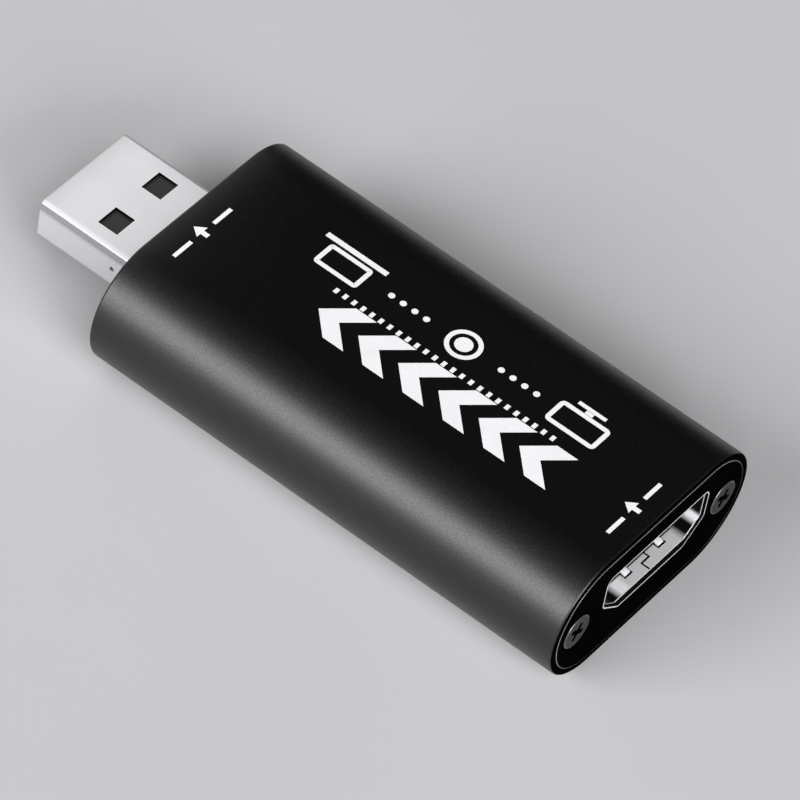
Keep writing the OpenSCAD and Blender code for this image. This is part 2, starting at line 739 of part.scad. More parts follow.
module capture_chip_leads() {
    color("#b9b9bd") translate([0, chip_y, board_top]) for (turn = [0:90:270]) rotate([0, 0, turn])
        translate([0, chip_side / 2, 0]) lead_row(chip_leads, chip_pitch, chip_lead_w, chip_h / 2);
}

module memory_chip() chip_body(memory_x, memory_y, memory_w, memory_len, memory_h);

module memory_chip_leads() {
    color("#b9b9bd") translate([memory_x, memory_y, board_top]) for (turn = [90, 270]) rotate([0, 0, turn])
        translate([0, memory_w / 2, 0]) lead_row(4, memory_pitch, wide_lead_w, memory_h / 2);
}

module regulator_body(y) chip_body(regulator_x, y, regulator_w, regulator_len, regulator_h);

// Three leads on one side of a regulator and two on the other
module regulator_leads(y) {
    color("#b9b9bd") translate([regulator_x, y, board_top]) {
        rotate([0, 0, 90]) translate([0, regulator_w / 2, 0])
            lead_row(3, regulator_pitch, wide_lead_w, regulator_h / 2);
        rotate([0, 0, 270]) translate([0, regulator_w / 2, 0])
            lead_row(2, 2 * regulator_pitch, wide_lead_w, regulator_h / 2);
    }
}

module core_regulator() regulator_body(core_regulator_y);
module core_regulator_leads() regulator_leads(core_regulator_y);
module port_regulator() regulator_body(port_regulator_y);
module port_regulator_leads() regulator_leads(port_regulator_y);

module crystal_base() {
    color("#3a3632") block(crystal_x, chip_y, board_top, [crystal_w, crystal_len, crystal_base_h]);
}

module crystal_can() {
    color("#c4c4c6") block(crystal_x, chip_y, board_top + crystal_base_h,
        [crystal_w - 2 * crystal_step, crystal_len - 2 * crystal_step, crystal_can_h]);
}

module inductor_core() {
    color("#3b3b3d") block(inductor_x, inductor_y, board_top,
        [inductor_side - 2 * strap_w, inductor_side, inductor_h]);
}

module inductor_ends() {
    color("#b9b9bd") for (s = [-1, 1])
        block(inductor_x + s * (inductor_side - strap_w) / 2, inductor_y, board_top,
            [strap_w, inductor_side, inductor_h]);
}

module surge_arrays() {
    color("#202022") for (s = [-1, 1]) block(s * surge_x, surge_y, board_top, [surge_len, surge_w, surge_h]);
}

// Middles of small parts that lie along Y
module small_bodies(places, l, w, h, end) {
    for (p = places) block(p[0], p[1], board_top, [w, l - 2 * end, h]);
}

// Metal ends of small parts that lie along Y
module small_ends(places, l, w, h, end) {
    for (p = places, s = [-1, 1]) block(p[0], p[1] + s * (l - end) / 2, board_top, [w, end, h]);
}

module capacitors() color("#8a6f4e") small_bodies(cap_places, cap_len, cap_w, cap_w, cap_end);
module capacitor_ends() color("#c4c4c6") small_ends(cap_places, cap_len, cap_w, cap_w, cap_end);
module resistors() color("#19191b") small_bodies(res_places, res_len, res_w, res_h, res_end);
module resistor_ends() color("#c4c4c6") small_ends(res_places, res_len, res_w, res_h, res_end);

sleeve();
front_plate();
rear_plate();
front_plate_screws();
rear_plate_screws();
circuit_board();
socket_shell();
socket_insulator();
socket_upper_contacts();
socket_lower_contacts();
spring_top_left();
spring_top_right();
spring_bottom_left();
spring_bottom_right();
plug_shell();
plug_insulator();
plug_contacts();
capture_chip();
capture_chip_leads();
memory_chip();
memory_chip_leads();
core_regulator();
core_regulator_leads();
port_regulator();
port_regulator_leads();
crystal_base();
crystal_can();
inductor_core();
inductor_ends();
surge_arrays();
capacitors();
capacitor_ends();
resistors();
resistor_ends();
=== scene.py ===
# %% [markdown]
# # A video capture stick, dressed step by step
#
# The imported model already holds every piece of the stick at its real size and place.
# This lesson keeps those places. It models finer meshes for the pieces that meet the eye,
# and it gives every surface its finish. All lengths are in metres, so a millimetre gets
# a name of its own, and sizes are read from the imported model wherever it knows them.

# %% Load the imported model
import json
import math

import bmesh
import bpy
from mathutils import Matrix, Vector


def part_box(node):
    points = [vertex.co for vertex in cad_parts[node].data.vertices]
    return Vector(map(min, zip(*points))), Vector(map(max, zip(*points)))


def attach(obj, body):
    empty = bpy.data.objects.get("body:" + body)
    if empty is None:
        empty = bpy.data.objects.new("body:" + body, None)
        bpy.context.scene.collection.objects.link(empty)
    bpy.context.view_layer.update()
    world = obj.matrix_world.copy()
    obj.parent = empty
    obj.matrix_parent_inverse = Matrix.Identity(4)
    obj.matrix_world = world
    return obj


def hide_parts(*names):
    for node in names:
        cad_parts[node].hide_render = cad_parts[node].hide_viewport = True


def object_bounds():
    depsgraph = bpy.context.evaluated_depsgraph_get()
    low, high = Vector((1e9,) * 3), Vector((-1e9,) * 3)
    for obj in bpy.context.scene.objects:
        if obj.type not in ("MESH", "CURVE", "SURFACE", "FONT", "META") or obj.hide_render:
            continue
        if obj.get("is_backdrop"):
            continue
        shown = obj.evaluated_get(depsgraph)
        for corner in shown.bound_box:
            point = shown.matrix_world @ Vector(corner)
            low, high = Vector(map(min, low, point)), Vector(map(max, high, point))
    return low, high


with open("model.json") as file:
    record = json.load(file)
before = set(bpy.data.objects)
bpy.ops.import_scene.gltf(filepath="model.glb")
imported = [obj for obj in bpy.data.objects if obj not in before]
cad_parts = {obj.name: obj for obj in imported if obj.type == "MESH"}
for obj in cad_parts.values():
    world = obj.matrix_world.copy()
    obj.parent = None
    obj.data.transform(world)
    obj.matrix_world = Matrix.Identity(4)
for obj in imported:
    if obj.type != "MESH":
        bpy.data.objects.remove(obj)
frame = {"nodes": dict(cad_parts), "record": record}
cad_low, cad_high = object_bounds()
MM = 0.001
print("CAD box in mm:", [round(v / MM, 2) for v in (*cad_low, *cad_high)])

# %% [markdown]
# ## The camera
#
# A long lens far away keeps the stick's edges almost parallel, as a product photographer does.
# The camera stands off the socket's end, to the left and high up, and is rolled a little, so
# that the stick runs across the picture's diagonal. A camera could track a target, but
# a roll is easier to state when its three axes are worked out in the open.

# %% Set the camera
AIM = Vector((0, 0, 6.5 * MM))
AZIMUTH = math.radians(-59.70)
ELEVATION = math.radians(48.03)
ROLL = math.radians(10.98)
DISTANCE = 601.9 * MM
SLIDE_RIGHT = -1.52 * MM
SLIDE_UP = 0.36 * MM
LENS_MM = 311.0

back = Vector((
    math.sin(AZIMUTH) * math.cos(ELEVATION),
    -math.cos(AZIMUTH) * math.cos(ELEVATION),
    math.sin(ELEVATION),
))
level_right = Vector((math.cos(AZIMUTH), math.sin(AZIMUTH), 0))
level_up = back.cross(level_right)
right = level_right * math.cos(ROLL) + level_up * math.sin(ROLL)
up = level_up * math.cos(ROLL) - level_right * math.sin(ROLL)

lens = bpy.data.cameras.new("photo_camera")
lens.lens = LENS_MM
camera = bpy.data.objects.new("photo_camera", lens)
bpy.context.scene.collection.objects.link(camera)
stand = AIM + back * DISTANCE + right * SLIDE_RIGHT + up * SLIDE_UP
camera.matrix_world = Matrix.Translation(stand) @ Matrix((right, up, back)).transposed().to_4x4()
bpy.context.scene.camera = camera
bpy.context.scene.view_settings.view_transform = "Standard"
print("camera at", [round(v, 3) for v in stand])

# %% [markdown]
# ## Soft studio light
#
# Black satin metal shows almost nothing of its own colour. What the eye reads is the long soft
# band where a side light mirrors in the round flank, so that light is placed first: low on the
# left, and long enough for the band to run the whole length. One lamp stands near the camera and
# looks down, and one shines into the socket's end. A small card close over the plug lifts its top.
# Lamps are given by brightness, so that one keeps its look when its size changes.

# %% Set the lights
POWER_PER_RADIANCE = 4
PLUG_TOP = Vector((2.5, 35.4, 7.6)) * MM
WORLD_GREY = 0.012


def softbox(name, aim, toward, distance, size, radiance):
    """A rectangular lamp that faces a point from the direction given."""
    lamp = bpy.data.lights.new(name, "AREA")
    lamp.shape = "RECTANGLE"
    lamp.size = size[0]
    lamp.size_y = size[1]
    lamp.energy = POWER_PER_RADIANCE * size[0] * size[1] * radiance
    holder = bpy.data.objects.new(name, lamp)
    bpy.context.scene.collection.objects.link(holder)
    away = Vector(toward).normalized()
    holder.location = aim + away * distance
    holder.rotation_euler = away.to_track_quat("Z", "Y").to_euler()
    holder.visible_camera = False
    print(name, "shines", round(lamp.energy, 4), "W")


softbox("side_strip", AIM, (-0.815, 0.345, 0.47), distance=3.20, size=(2.40, 1.76), radiance=6.7)
softbox("camera_fill", AIM, (-0.50, -0.60, 0.75), distance=2.40, size=(1.6, 1.6), radiance=3.75)
softbox("front_strip", AIM, (-0.35, -0.91, 0.45), distance=2.40, size=(1.44, 0.76), radiance=11.4)
softbox("plug_card", PLUG_TOP, (0, 0, 1), distance=0.009, size=(0.026, 0.016), radiance=0.72)

studio = bpy.data.worlds.new("studio")
bpy.context.scene.world = studio
studio.use_nodes = True
backdrop = studio.node_tree.nodes["Background"]
backdrop.inputs["Color"].default_value = (WORLD_GREY, WORLD_GREY, WORLD_GREY, 1)

# %% [markdown]
# ## Grain, shared by every finish
#
# No real surface is one flat colour. Blasted metal has a fine grain, rolled sheet has lines
# along the roll, and moulded plastic has a dull texture. All of them can be drawn with the same
# two noises, one fine and one broad, so they are built once as a node group. A stretch input
# draws the noise out along one axis, which turns grain into rolling lines.

# %% Build the grain group
NOISES = ("Fine", "Broad")
NOISE_DETAIL = 3


def build_grain():
    """A group that puts out a fine and a broad noise, both from 0 to 1."""
    group = bpy.data.node_groups.new("surface_grain", "ShaderNodeTree")
    for name in NOISES:
        group.interface.new_socket(name + " scale", in_out="INPUT", socket_type="NodeSocketFloat")
    group.interface.new_socket("Stretch", in_out="INPUT", socket_type="NodeSocketVector")
    for name in NOISES:
        group.interface.new_socket(name, in_out="OUTPUT", socket_type="NodeSocketFloat")
    entry = group.nodes.new("NodeGroupInput")
    result = group.nodes.new("NodeGroupOutput")
    spot = group.nodes.new("ShaderNodeTexCoord")
    stretch = group.nodes.new("ShaderNodeVectorMath")
    stretch.operation = "MULTIPLY"
    link = group.links.new
    link(spot.outputs["Object"], stretch.inputs[0])
    link(entry.outputs["Stretch"], stretch.inputs[1])
    for name in NOISES:
        noise = group.nodes.new("ShaderNodeTexNoise")
        noise.inputs["Detail"].default_value = NOISE_DETAIL
        link(stretch.outputs["Vector"], noise.inputs["Vector"])
        link(entry.outputs[name + " scale"], noise.inputs["Scale"])
        link(noise.outputs["Fac"], result.inputs[name])
    return group


grain_group = build_grain()
print("grain group:", [item.name for item in grain_group.interface.items_tree])

# %% [markdown]
# ## One recipe, many finishes
#
# Every finish here starts from the same recipe: the broad noise moves the colour between two
# close shades, the fine noise moves the roughness, and its height gives the surface its bump.
# What stays the same all over a surface, such as the metallic value, is set on the shader's own
# socket. Each finish then only has to name its shades, its grain and its sheen.

# %% Write the recipe
NOISE_LOW, NOISE_HIGH = 0.3, 0.7
COOLNESS = 1.03


def fill(node, values):
    """Sets inputs of a shader node by their names."""
    for name, value in values.items():
        node.inputs[name].default_value = value


def grained_finish(name, shades, roughness, metallic=0.0, specular=0.5, grain=0.12, cloud=6.0,
                   depth=0.002, stretch=(1, 1, 1)):
    """A material from two shades, a roughness range, and a grain size, cloud size and depth in mm."""
    material = bpy.data.materials.new(name)
    material.use_nodes = True
    nodes = material.node_tree.nodes
    link = material.node_tree.links.new
    shader = nodes["Principled BSDF"]
    fill(shader, {"Metallic": metallic, "Specular IOR Level": specular})
    texture = nodes.new("ShaderNodeGroup")
    texture.node_tree = grain_group
    fill(texture, {"Fine scale": 1 / (grain * MM), "Broad scale": 1 / (cloud * MM)})
    fill(texture, {"Stretch": stretch})
    ramp = nodes.new("ShaderNodeValToRGB")
    for stop, position, shade in zip(ramp.color_ramp.elements, (NOISE_LOW, NOISE_HIGH), shades):
        stop.position = position
        stop.color = (*shade, 1)
    sheen = nodes.new("ShaderNodeMapRange")
    fill(sheen, {"From Min": NOISE_LOW, "From Max": NOISE_HIGH})
    fill(sheen, {"To Min": roughness[0], "To Max": roughness[1]})
    bump = nodes.new("ShaderNodeBump")
    fill(bump, {"Distance": depth * MM})
    link(texture.outputs["Broad"], ramp.inputs["Fac"])
    link(ramp.outputs["Color"], shader.inputs["Base Color"])
    link(texture.outputs["Fine"], sheen.inputs["Value"])
    link(sheen.outputs["Result"], shader.inputs["Roughness"])
    link(texture.outputs["Fine"], bump.inputs["Height"])
    link(bump.outputs["Normal"], shader.inputs["Normal"])
    return material


def greys(*values):
    """Neutral shades, a little cool as metal and dyed plastic are."""
    return tuple((value, value, value * COOLNESS) for value in values)


print("a middle grey is written as", *greys(0.5))

# %% [markdown]
# ## The floor
#
# The stick lies on a plain pale table. A large plane is enough, because the long lens never sees
# its edge. It gets the same recipe as the rest, so that it reads as a real matt surface.

# %% Lay the floor
FLOOR_SIZE = 8
FLOOR_GAP = 0.02 * MM
bpy.ops.object.select_all(action="DESELECT")
bpy.ops.mesh.primitive_plane_add(size=FLOOR_SIZE, location=(0, 0, cad_low.z - FLOOR_GAP))
floor = bpy.context.active_object
floor.name = "floor"
floor.data.materials.append(grained_finish(
    "pale_table", greys(0.46, 0.48), (0.7, 0.8), specular=0.2, grain=0.5, cloud=60, depth=0.002))
floor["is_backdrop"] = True
print("floor at", round(floor.location.z / MM, 3), "mm")

# %% [markdown]
# ## The outer finishes
#
# The sleeve is blasted and anodised black, so it is dark, dielectric and satin. The end plates
# are duller, and a thin grey highlight line is painted along their outer edges. The lip's front and
# its rolled edge are painted bright as highlight lines. The slope of the socket's lip and the
# crosses of the screws are painted black as shade, and the screws' rims are painted lighter as a
# highlight. The two connectors are plated sheet: rolled lines run along them, and the plating
# scatters light, so they aren't perfect mirrors.

# %% Mix the outer finishes
ROLLED = (1, 0.06, 1)
finishes = {}


def mix(name, *values, **more):
    """Makes a finish by the recipe and keeps it under its name."""
    finishes[name] = grained_finish(name, *values, **more)


mix("black_anodised", greys(0.0003, 0.0006), (0.38, 0.46), specular=0.67, grain=0.16, depth=0.01)
mix("black_plate", greys(0.0004, 0.0007), (0.7, 0.85), specular=0.003, grain=0.1, depth=0.003)
# Painted highlight: a grey line for the plates' broken outer edges.
mix("painted_grey_edge_line", greys(0.16, 0.2), (0.35, 0.45), metallic=0.3, grain=0.05, cloud=1, depth=0.001)
# Painted highlight: a bright grey for the lip's front and its rolled edge.
mix("painted_bright_line", greys(0.58, 0.66), (0.35, 0.45), metallic=0.3, grain=0.05, cloud=1, depth=0.001)
# Painted shade: near black for the lip's slope, cut gaps, crosses and window edges.
mix("painted_shade_black", greys(0.001, 0.002), (0.5, 0.65), specular=0.02, grain=0.05, cloud=1)
mix("screw_steel", greys(0.038, 0.05), (0.4, 0.5), metallic=1.0, grain=0.08, cloud=1.5)
# Painted highlight: a lighter grey for the screws' rounded rims.
mix("screw_rim_highlight", greys(0.16, 0.2), (0.35, 0.45), metallic=1.0, grain=0.08, cloud=1.5)
mix("socket_sheet", greys(0.95, 0.98), (0.268, 0.274), metallic=0.2, specular=0.04, grain=0.05,
    cloud=3, depth=0.00002, stretch=ROLLED)
mix("rubbed_sheet", greys(0.85, 0.89), (0.3, 0.36), metallic=0.1, grain=0.05, cloud=1,
    depth=0.0001, stretch=ROLLED)
mix("plug_sheet", greys(0.66, 0.69), (0.29, 0.31), metallic=0.65, grain=0.06, cloud=4,
    depth=0.0002, stretch=ROLLED)
print("outer finishes:", *finishes)

# %% [markdown]
# ## The inner finishes
#
# Inside are black moulded plastic, gold contacts, black chips, tinned leads, fired ceramic,
# pressed ferrite and the board's green resist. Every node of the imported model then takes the
# finish of its slot, so that pieces whose shape is right already need nothing more.

# %% Mix the inner finishes
DRAWN = (1, 0.1, 1)
GOLD = ((0.8, 0.58, 0.2), (0.86, 0.66, 0.28))
FIRED_CLAY = ((0.3, 0.22, 0.14), (0.4, 0.31, 0.21))
GREEN_RESIST = ((0.012, 0.07, 0.03), (0.02, 0.11, 0.045))
mix("insulator", greys(0.012, 0.02), (0.45, 0.6), specular=0.4, cloud=3)
mix("gold", GOLD, (0.2, 0.32), metallic=1.0, grain=0.05, cloud=1, depth=0.0005, stretch=DRAWN)
mix("chip", greys(0.014, 0.024), (0.55, 0.7), specular=0.3, cloud=2)
mix("tinned", greys(0.6, 0.7), (0.25, 0.4), metallic=1.0, grain=0.05, cloud=0.5, depth=0.001)
mix("ceramic", FIRED_CLAY, (0.5, 0.65), grain=0.06, cloud=0.4)
mix("ferrite", greys(0.04, 0.08), (0.6, 0.8), grain=0.07, cloud=0.5, depth=0.006)
mix("board", GREEN_RESIST, (0.25, 0.4), grain=0.2, cloud=1.2, depth=0.002)
slot_of = {row["node"]: row["material_slot"] for row in frame["record"]["subparts"]}
for node, piece in frame["nodes"].items():
    piece.data.materials.clear()
    piece.data.materials.append(finishes[slot_of[node]])
print(len(slot_of), "pieces have", len(finishes), "finishes to take from")

# %% [markdown]
# ## Tools for the bench
#
# Modelling by hand is a loop of a few moves: select one piece, open it, select some of its faces
# or edges, run an operator, close it. These helpers name those moves. Selecting by a test on
# place or normal keeps working when a size changes, where a list of face numbers would not.

# %% Lay out the tools that select


def only(piece):
    """Makes one piece the only selected one."""
    bpy.ops.object.select_all(action="DESELECT")
    piece.select_set(True)
    bpy.context.view_layer.objects.active = piece


def open_edit(piece):
    """Opens a piece in edit mode."""
    only(piece)
    bpy.ops.object.mode_set(mode="EDIT")


def close_edit():
    """Goes back to object mode."""
    bpy.ops.object.mode_set(mode="OBJECT")


def pick(piece, kind, test):
    """In edit mode, selects the corners, edges or faces that pass a test."""
    bpy.ops.mesh.select_mode(type=kind)
    bpy.ops.mesh.select_all(action="DESELECT")
    mesh = bmesh.from_edit_mesh(piece.data)
    for part in {"VERT": mesh.verts, "EDGE": mesh.edges, "FACE": mesh.faces}[kind]:
        if test(part):
            part.select_set(True)
    mesh.select_flush_mode()
    bmesh.update_edit_mesh(piece.data)


print("tools that select: only, open_edit, close_edit, pick")

# %% [markdown]
# The tests ask where an edge or face lies and which way it looks. Two corners within a weld count
# as one, and a nick is a length that is too small to see.

# %% Lay out the tests
X, Y, Z = 0, 1, 2
WELD = 0.0005 * MM
NICK = 0.01 * MM
STRAIGHT = 0.99
FACING = 0.9
SQUARE_ON = 0.98
SIDE_ON = 0.1


def at(part, axis, value):
    """Whether all corners of an edge or face lie at a value of X, Y or Z."""
    return all(abs(corner.co[axis] - value) < 2 * WELD for corner in part.verts)


def runs_along(edge, axis):
    """Whether an edge runs along X, Y or Z."""
    return abs((edge.verts[0].co - edge.verts[1].co).normalized()[axis]) > STRAIGHT


def looks(face, axis, way):
    """Whether a face looks along an axis, the way given."""
    return face.normal[axis] * way > FACING


def is_side_on(face, axis):
    """Whether a face turns its side to an axis."""
    return abs(face.normal[axis]) < SIDE_ON


def slants(face, axis):
    """Whether a face is neither square to an axis nor side on to it."""
    return SIDE_ON < abs(face.normal[axis]) < SQUARE_ON


print("a weld is", WELD / MM, "mm and a nick is", NICK / MM, "mm")

# %% [markdown]
# The next tools make starting shapes. A bar with rounded long edges is the most common one: the
# sleeve, its plates and the plug all begin as one. A primitive's place and size go straight into
# its mesh, so that every object stays at the origin.

# %% Lay out the shapes


def place(piece, name, spot, scale=(1, 1, 1)):
    """Names a new primitive and puts its place and size into its mesh."""
    piece.name = name
    piece.data.name = name
    piece.location = spot
    piece.scale = scale
    bpy.ops.object.transform_apply(location=True, rotation=True, scale=True)
    return piece


def strip(name, spot, scale, turn=(0, 0, 0)):
    """A flat square that is turned, stretched and placed."""
    bpy.ops.object.select_all(action="DESELECT")
    bpy.ops.mesh.primitive_plane_add(size=1, rotation=turn)
    return place(bpy.context.active_object, name, spot, scale)


def box(name, low, high):
    """A cube set between two corners."""
    bpy.ops.object.select_all(action="DESELECT")
    bpy.ops.mesh.primitive_cube_add(size=1)
    low, high = Vector(low), Vector(high)
    return place(bpy.context.active_object, name, (low + high) / 2, high - low)


def rod(name, axis, radius, low, high, flats=48):
    """A cylinder along X, Y or Z between two points."""
    turn = {X: (0, math.pi / 2, 0), Y: (math.pi / 2, 0, 0), Z: (0, 0, 0)}[axis]
    low, high = Vector(low), Vector(high)
    bpy.ops.object.select_all(action="DESELECT")
    bpy.ops.mesh.primitive_cylinder_add(
        vertices=flats, radius=radius, depth=(high - low).length, rotation=turn)
    return place(bpy.context.active_object, name, (low + high) / 2)


def round_edges(piece, test, reach, flats):
    """In edit mode, rounds the edges that pass a test."""
    pick(piece, "EDGE", test)
    bpy.ops.mesh.bevel(offset=reach, segments=flats, affect="EDGES")


def rounded_bar(name, low, high, radius, flats):
    """A box along Y with its four long edges rounded."""
    bar = box(name, low, high)
    open_edit(bar)
    round_edges(bar, lambda edge: runs_along(edge, Y), radius, flats)
    bpy.ops.mesh.select_all(action="SELECT")
    bpy.ops.mesh.remove_doubles(threshold=WELD)
    close_edit()
    return bar


def another(model):
    """A copy of a bench model, with a mesh of its own, selected alone."""
    copy = model.copy()
    copy.data = model.data.copy()
    bpy.context.scene.collection.objects.link(copy)
    only(copy)
    return copy


print("shapes: strip, box, rod, rounded_bar")

# %% [markdown]
# These tools change a shape. Modifiers are applied at once, so that each step leaves a plain mesh
# for the next one, and what has cut or joined a shape is cleared away.

# %% Lay out the tools that shape


def pull(way):
    """Extrudes what is selected."""
    bpy.ops.mesh.extrude_region_move(TRANSFORM_OT_translate={"value": way})


def grow(scale, centre):
    """Scales what is selected about a centre."""
    bpy.ops.transform.resize(value=scale, center_override=centre)


def apply(piece, kind, **settings):
    """Adds a modifier with its settings and applies it."""
    only(piece)
    modifier = piece.modifiers.new(kind.lower(), kind)
    for name, value in settings.items():
        setattr(modifier, name, value)
    bpy.ops.object.modifier_apply(modifier=modifier.name)


def carve(piece, tool, operation="DIFFERENCE"):
    """Cuts a tool out of a piece, or joins it on, and clears the tool away."""
    apply(piece, "BOOLEAN", object=tool, operation=operation, solver="EXACT")
    bpy.data.objects.remove(tool)


def face_out():
    """In edit mode, points every face outwards."""
    bpy.ops.mesh.select_all(action="SELECT")
    bpy.ops.mesh.normals_make_consistent(inside=False)


def bore_through(piece):
    """In edit mode, joins the two end faces of a piece into a hole along Y."""
    pick(piece, "FACE", lambda face: len(face.verts) > 4 and abs(face.normal.y) > FACING)
    bpy.ops.mesh.bridge_edge_loops()
    face_out()


print("tools that shape: pull, grow, apply, carve, face_out, bore_through")

# %% [markdown]
# A finished piece is dressed: it is shaded smooth except at its real edges, takes its finish, and
# rides on its body. Some of its faces may then be painted with a second finish. A mask in the
# material could do that too, but a painted highlight line that is a face of its own stays crisp.

# %% Lay out the tools that finish
SMOOTH_BELOW = math.radians(32)


def tell(piece, stage):
    """Prints how many faces a piece has at a stage of its making."""
    print(stage, "has", len(piece.data.polygons), "faces")


def dress(piece, finish, body="body", nodes=()):
    """Shades a finished piece, gives it its finish and lets it ride on its body."""
    only(piece)
    bpy.ops.object.shade_smooth_by_angle(angle=SMOOTH_BELOW)
    apply(piece, "WEIGHTED_NORMAL", keep_sharp=True)
    piece.data.materials.clear()
    piece.data.materials.append(finishes[finish])
    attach(piece, body)
    if nodes:
        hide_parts(*nodes)
    tell(piece, piece.name)


def paint(piece, finish, test):
    """Gives a second finish to the faces of a dressed piece that pass a test."""
    piece.data.materials.append(finishes[finish])
    open_edit(piece)
    pick(piece, "FACE", test)
    piece.active_material_index = len(piece.data.materials) - 1
    bpy.ops.object.material_slot_assign()
    close_edit()


print("tools that finish: tell, dress, paint")

# %% [markdown]
# ## The sleeve
#
# The real sleeve is one length of extruded aluminium: flat above and below, with full-round
# flanks, two screw bosses on webs inside, and rails for the board. It is sawn off, and its ends
# are turned out to seat a plate. A curve could be extruded for it, but a bar with rounded edges
# gives clean quads. Each end face is inset to the rim and sunk to make the seat, inset again to
# the wall, and the two inner faces are bridged into one long hole.

# %% Draw out the tube
RIM = 0.7 * MM
WALL = 1.3 * MM
FLANK_FLATS = 28
END_ROUND = 0.25 * MM
SOFT_EDGE = 0.05 * MM

sleeve_low, sleeve_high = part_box("sleeve")
mid_z = (sleeve_low.z + sleeve_high.z) / 2
seat_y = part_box("rear_plate")[0].y


def from_core(corner):
    """How far a corner lies from the strip that the round flanks are drawn about."""
    reach = max(0, abs(corner.co.x) - sleeve_high.x + mid_z)
    return math.hypot(reach, corner.co.z - mid_z)


def rings_end(edge, distance):
    """Whether an edge lies in an end of the sleeve, at a distance from the core."""
    ends = at(edge, Y, sleeve_low.y) or at(edge, Y, sleeve_high.y)
    return ends and all(abs(from_core(corner) - distance) < 2 * NICK for corner in edge.verts)


sleeve = rounded_bar("rounded_sleeve", sleeve_low, sleeve_high, mid_z, FLANK_FLATS)
open_edit(sleeve)
for way in (-1, 1):
    pick(sleeve, "FACE", lambda face: looks(face, Y, way))
    bpy.ops.mesh.inset(thickness=RIM)
    pull((0, way * (seat_y - sleeve_high.y), 0))
    bpy.ops.mesh.inset(thickness=WALL - RIM)
bore_through(sleeve)
round_edges(sleeve, lambda edge: rings_end(edge, mid_z), END_ROUND, flats=4)
round_edges(sleeve, lambda edge: rings_end(edge, mid_z - RIM), SOFT_EDGE, flats=2)
close_edit()
tell(sleeve, "tube")

# %% [markdown]
# The bosses, webs and rails run all along the extrusion. They are joined on as rods and boxes that
# end a hair short of the plates' seats, because faces that lie on each other confuse a boolean.
# The screws' channels are cut last. The sawn ends are duller, so they take the plates' finish.

# %% Add the bosses, webs and rails
HEAD_R = 1.75 * MM
BOSS_R = 2.0 * MM
CHANNEL_R = 1.02 * MM
WEB_T = 1.6 * MM
RAIL_T = 0.9 * MM
RAIL_X = 9.63 * MM
SETBACK = 0.02 * MM
SAWN_FACING = 0.6

boss_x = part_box("front_plate_screws")[1].x - HEAD_R
rail_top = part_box("circuit_board")[0].z
fin_end = seat_y - SETBACK


def long_rod(name, radius, axis_x, end_y):
    """A rod along the sleeve, at the height of its middle."""
    return rod(name, Y, radius, (axis_x, -end_y, mid_z), (axis_x, end_y, mid_z))


def fin(side, inner, bottom, top):
    """A web or rail that reaches into the middle of the flank's wall."""
    rise = (bottom + top) / 2 - mid_z
    outer = sleeve_high.x - mid_z + math.sqrt((mid_z - WALL / 2) ** 2 - rise ** 2)
    ends = sorted((side * inner, side * outer))
    return box("fin", (ends[0], -fin_end, bottom), (ends[1], fin_end, top))


def sawn(face):
    """Whether a face is on a sawn end, where the skin is duller."""
    at_end = abs(face.calc_center_median().y) > sleeve_high.y - END_ROUND
    return at_end and abs(face.normal.y) > SAWN_FACING


for side in (-1, 1):
    carve(sleeve, long_rod("boss", BOSS_R, side * boss_x, fin_end), "UNION")
    carve(sleeve, fin(side, boss_x, mid_z - WEB_T / 2, mid_z + WEB_T / 2), "UNION")
    carve(sleeve, fin(side, RAIL_X, rail_top - RAIL_T, rail_top), "UNION")
    carve(sleeve, long_rod("channel", CHANNEL_R, side * boss_x, sleeve_high.y))
dress(sleeve, "black_anodised", nodes=["sleeve"])
paint(sleeve, "black_plate", sawn)

# %% [markdown]
# ## The screws
#
# Four small countersunk screws hold the plates. A screw is turned, so it starts as a cylinder
# for the head's rim. Pulling its underside down and scaling it makes the cone, the shank and
# the tip. The same blank, grown by a gap, later cuts the seats in the plates.

# %% Turn one screw
SCREW_R = 1.0 * MM
SCREW_LEN = 6.0 * MM
HEAD_EDGE = 0.25 * MM
HEAD_ROUND = 0.14 * MM
HEAD_PROUD = 0.0001 * MM
POINT = 0.33 * MM


def screw_blank(name, over, gap=0):
    """A countersunk screw along Z with its head's top just over zero, or a cutter for its seat."""
    head = HEAD_R + gap
    blank = rod(name, Z, head, (0, 0, -HEAD_EDGE), (0, 0, over), flats=64)
    cone_end = -HEAD_EDGE - HEAD_R + SCREW_R
    open_edit(blank)
    pick(blank, "FACE", lambda face: looks(face, Z, -1))
    pull((0, 0, cone_end + HEAD_EDGE))
    slim = (SCREW_R + gap) / head
    grow((slim, slim, 1), (0, 0, cone_end))
    pull((0, 0, POINT - SCREW_LEN - cone_end))
    pull((0, 0, -POINT))
    sharp = (SCREW_R - POINT) / SCREW_R
    grow((sharp, sharp, 1), (0, 0, -SCREW_LEN))
    close_edit()
    return blank


screw = screw_blank("bench_screw", HEAD_PROUD)
open_edit(screw)
round_edges(screw, lambda edge: at(edge, Z, 0), HEAD_ROUND, flats=3)
close_edit()
tell(screw, "turned screw")

# %% [markdown]
# The cross recess is cut by two tapered bars, because a punch has a taper so that it can be drawn
# out again. A bump in the material would look flat from the side.

# %% Punch the cross
RECESS_SPAN = 2.2 * MM
RECESS_SLOT = 0.6 * MM
RECESS_DEPTH = 0.7 * MM
RECESS_TAPER = 0.75
RECESS_TURNS = (60, 150)


def recess_bar(turn):
    """A bar that narrows downwards, for one stroke of the cross."""
    corner = Vector((RECESS_SPAN / 2, RECESS_SLOT / 2, RECESS_DEPTH))
    bar = box("recess_bar", -corner, corner)
    open_edit(bar)
    pick(bar, "FACE", lambda face: looks(face, Z, -1))
    grow((RECESS_TAPER, RECESS_TAPER, 1), (0, 0, -RECESS_DEPTH))
    close_edit()
    bar.rotation_euler = (0, 0, turn)
    bpy.ops.object.transform_apply(location=True, rotation=True, scale=True)
    return bar


for turn in RECESS_TURNS:
    carve(screw, recess_bar(math.radians(turn)))
tell(screw, "punched screw")
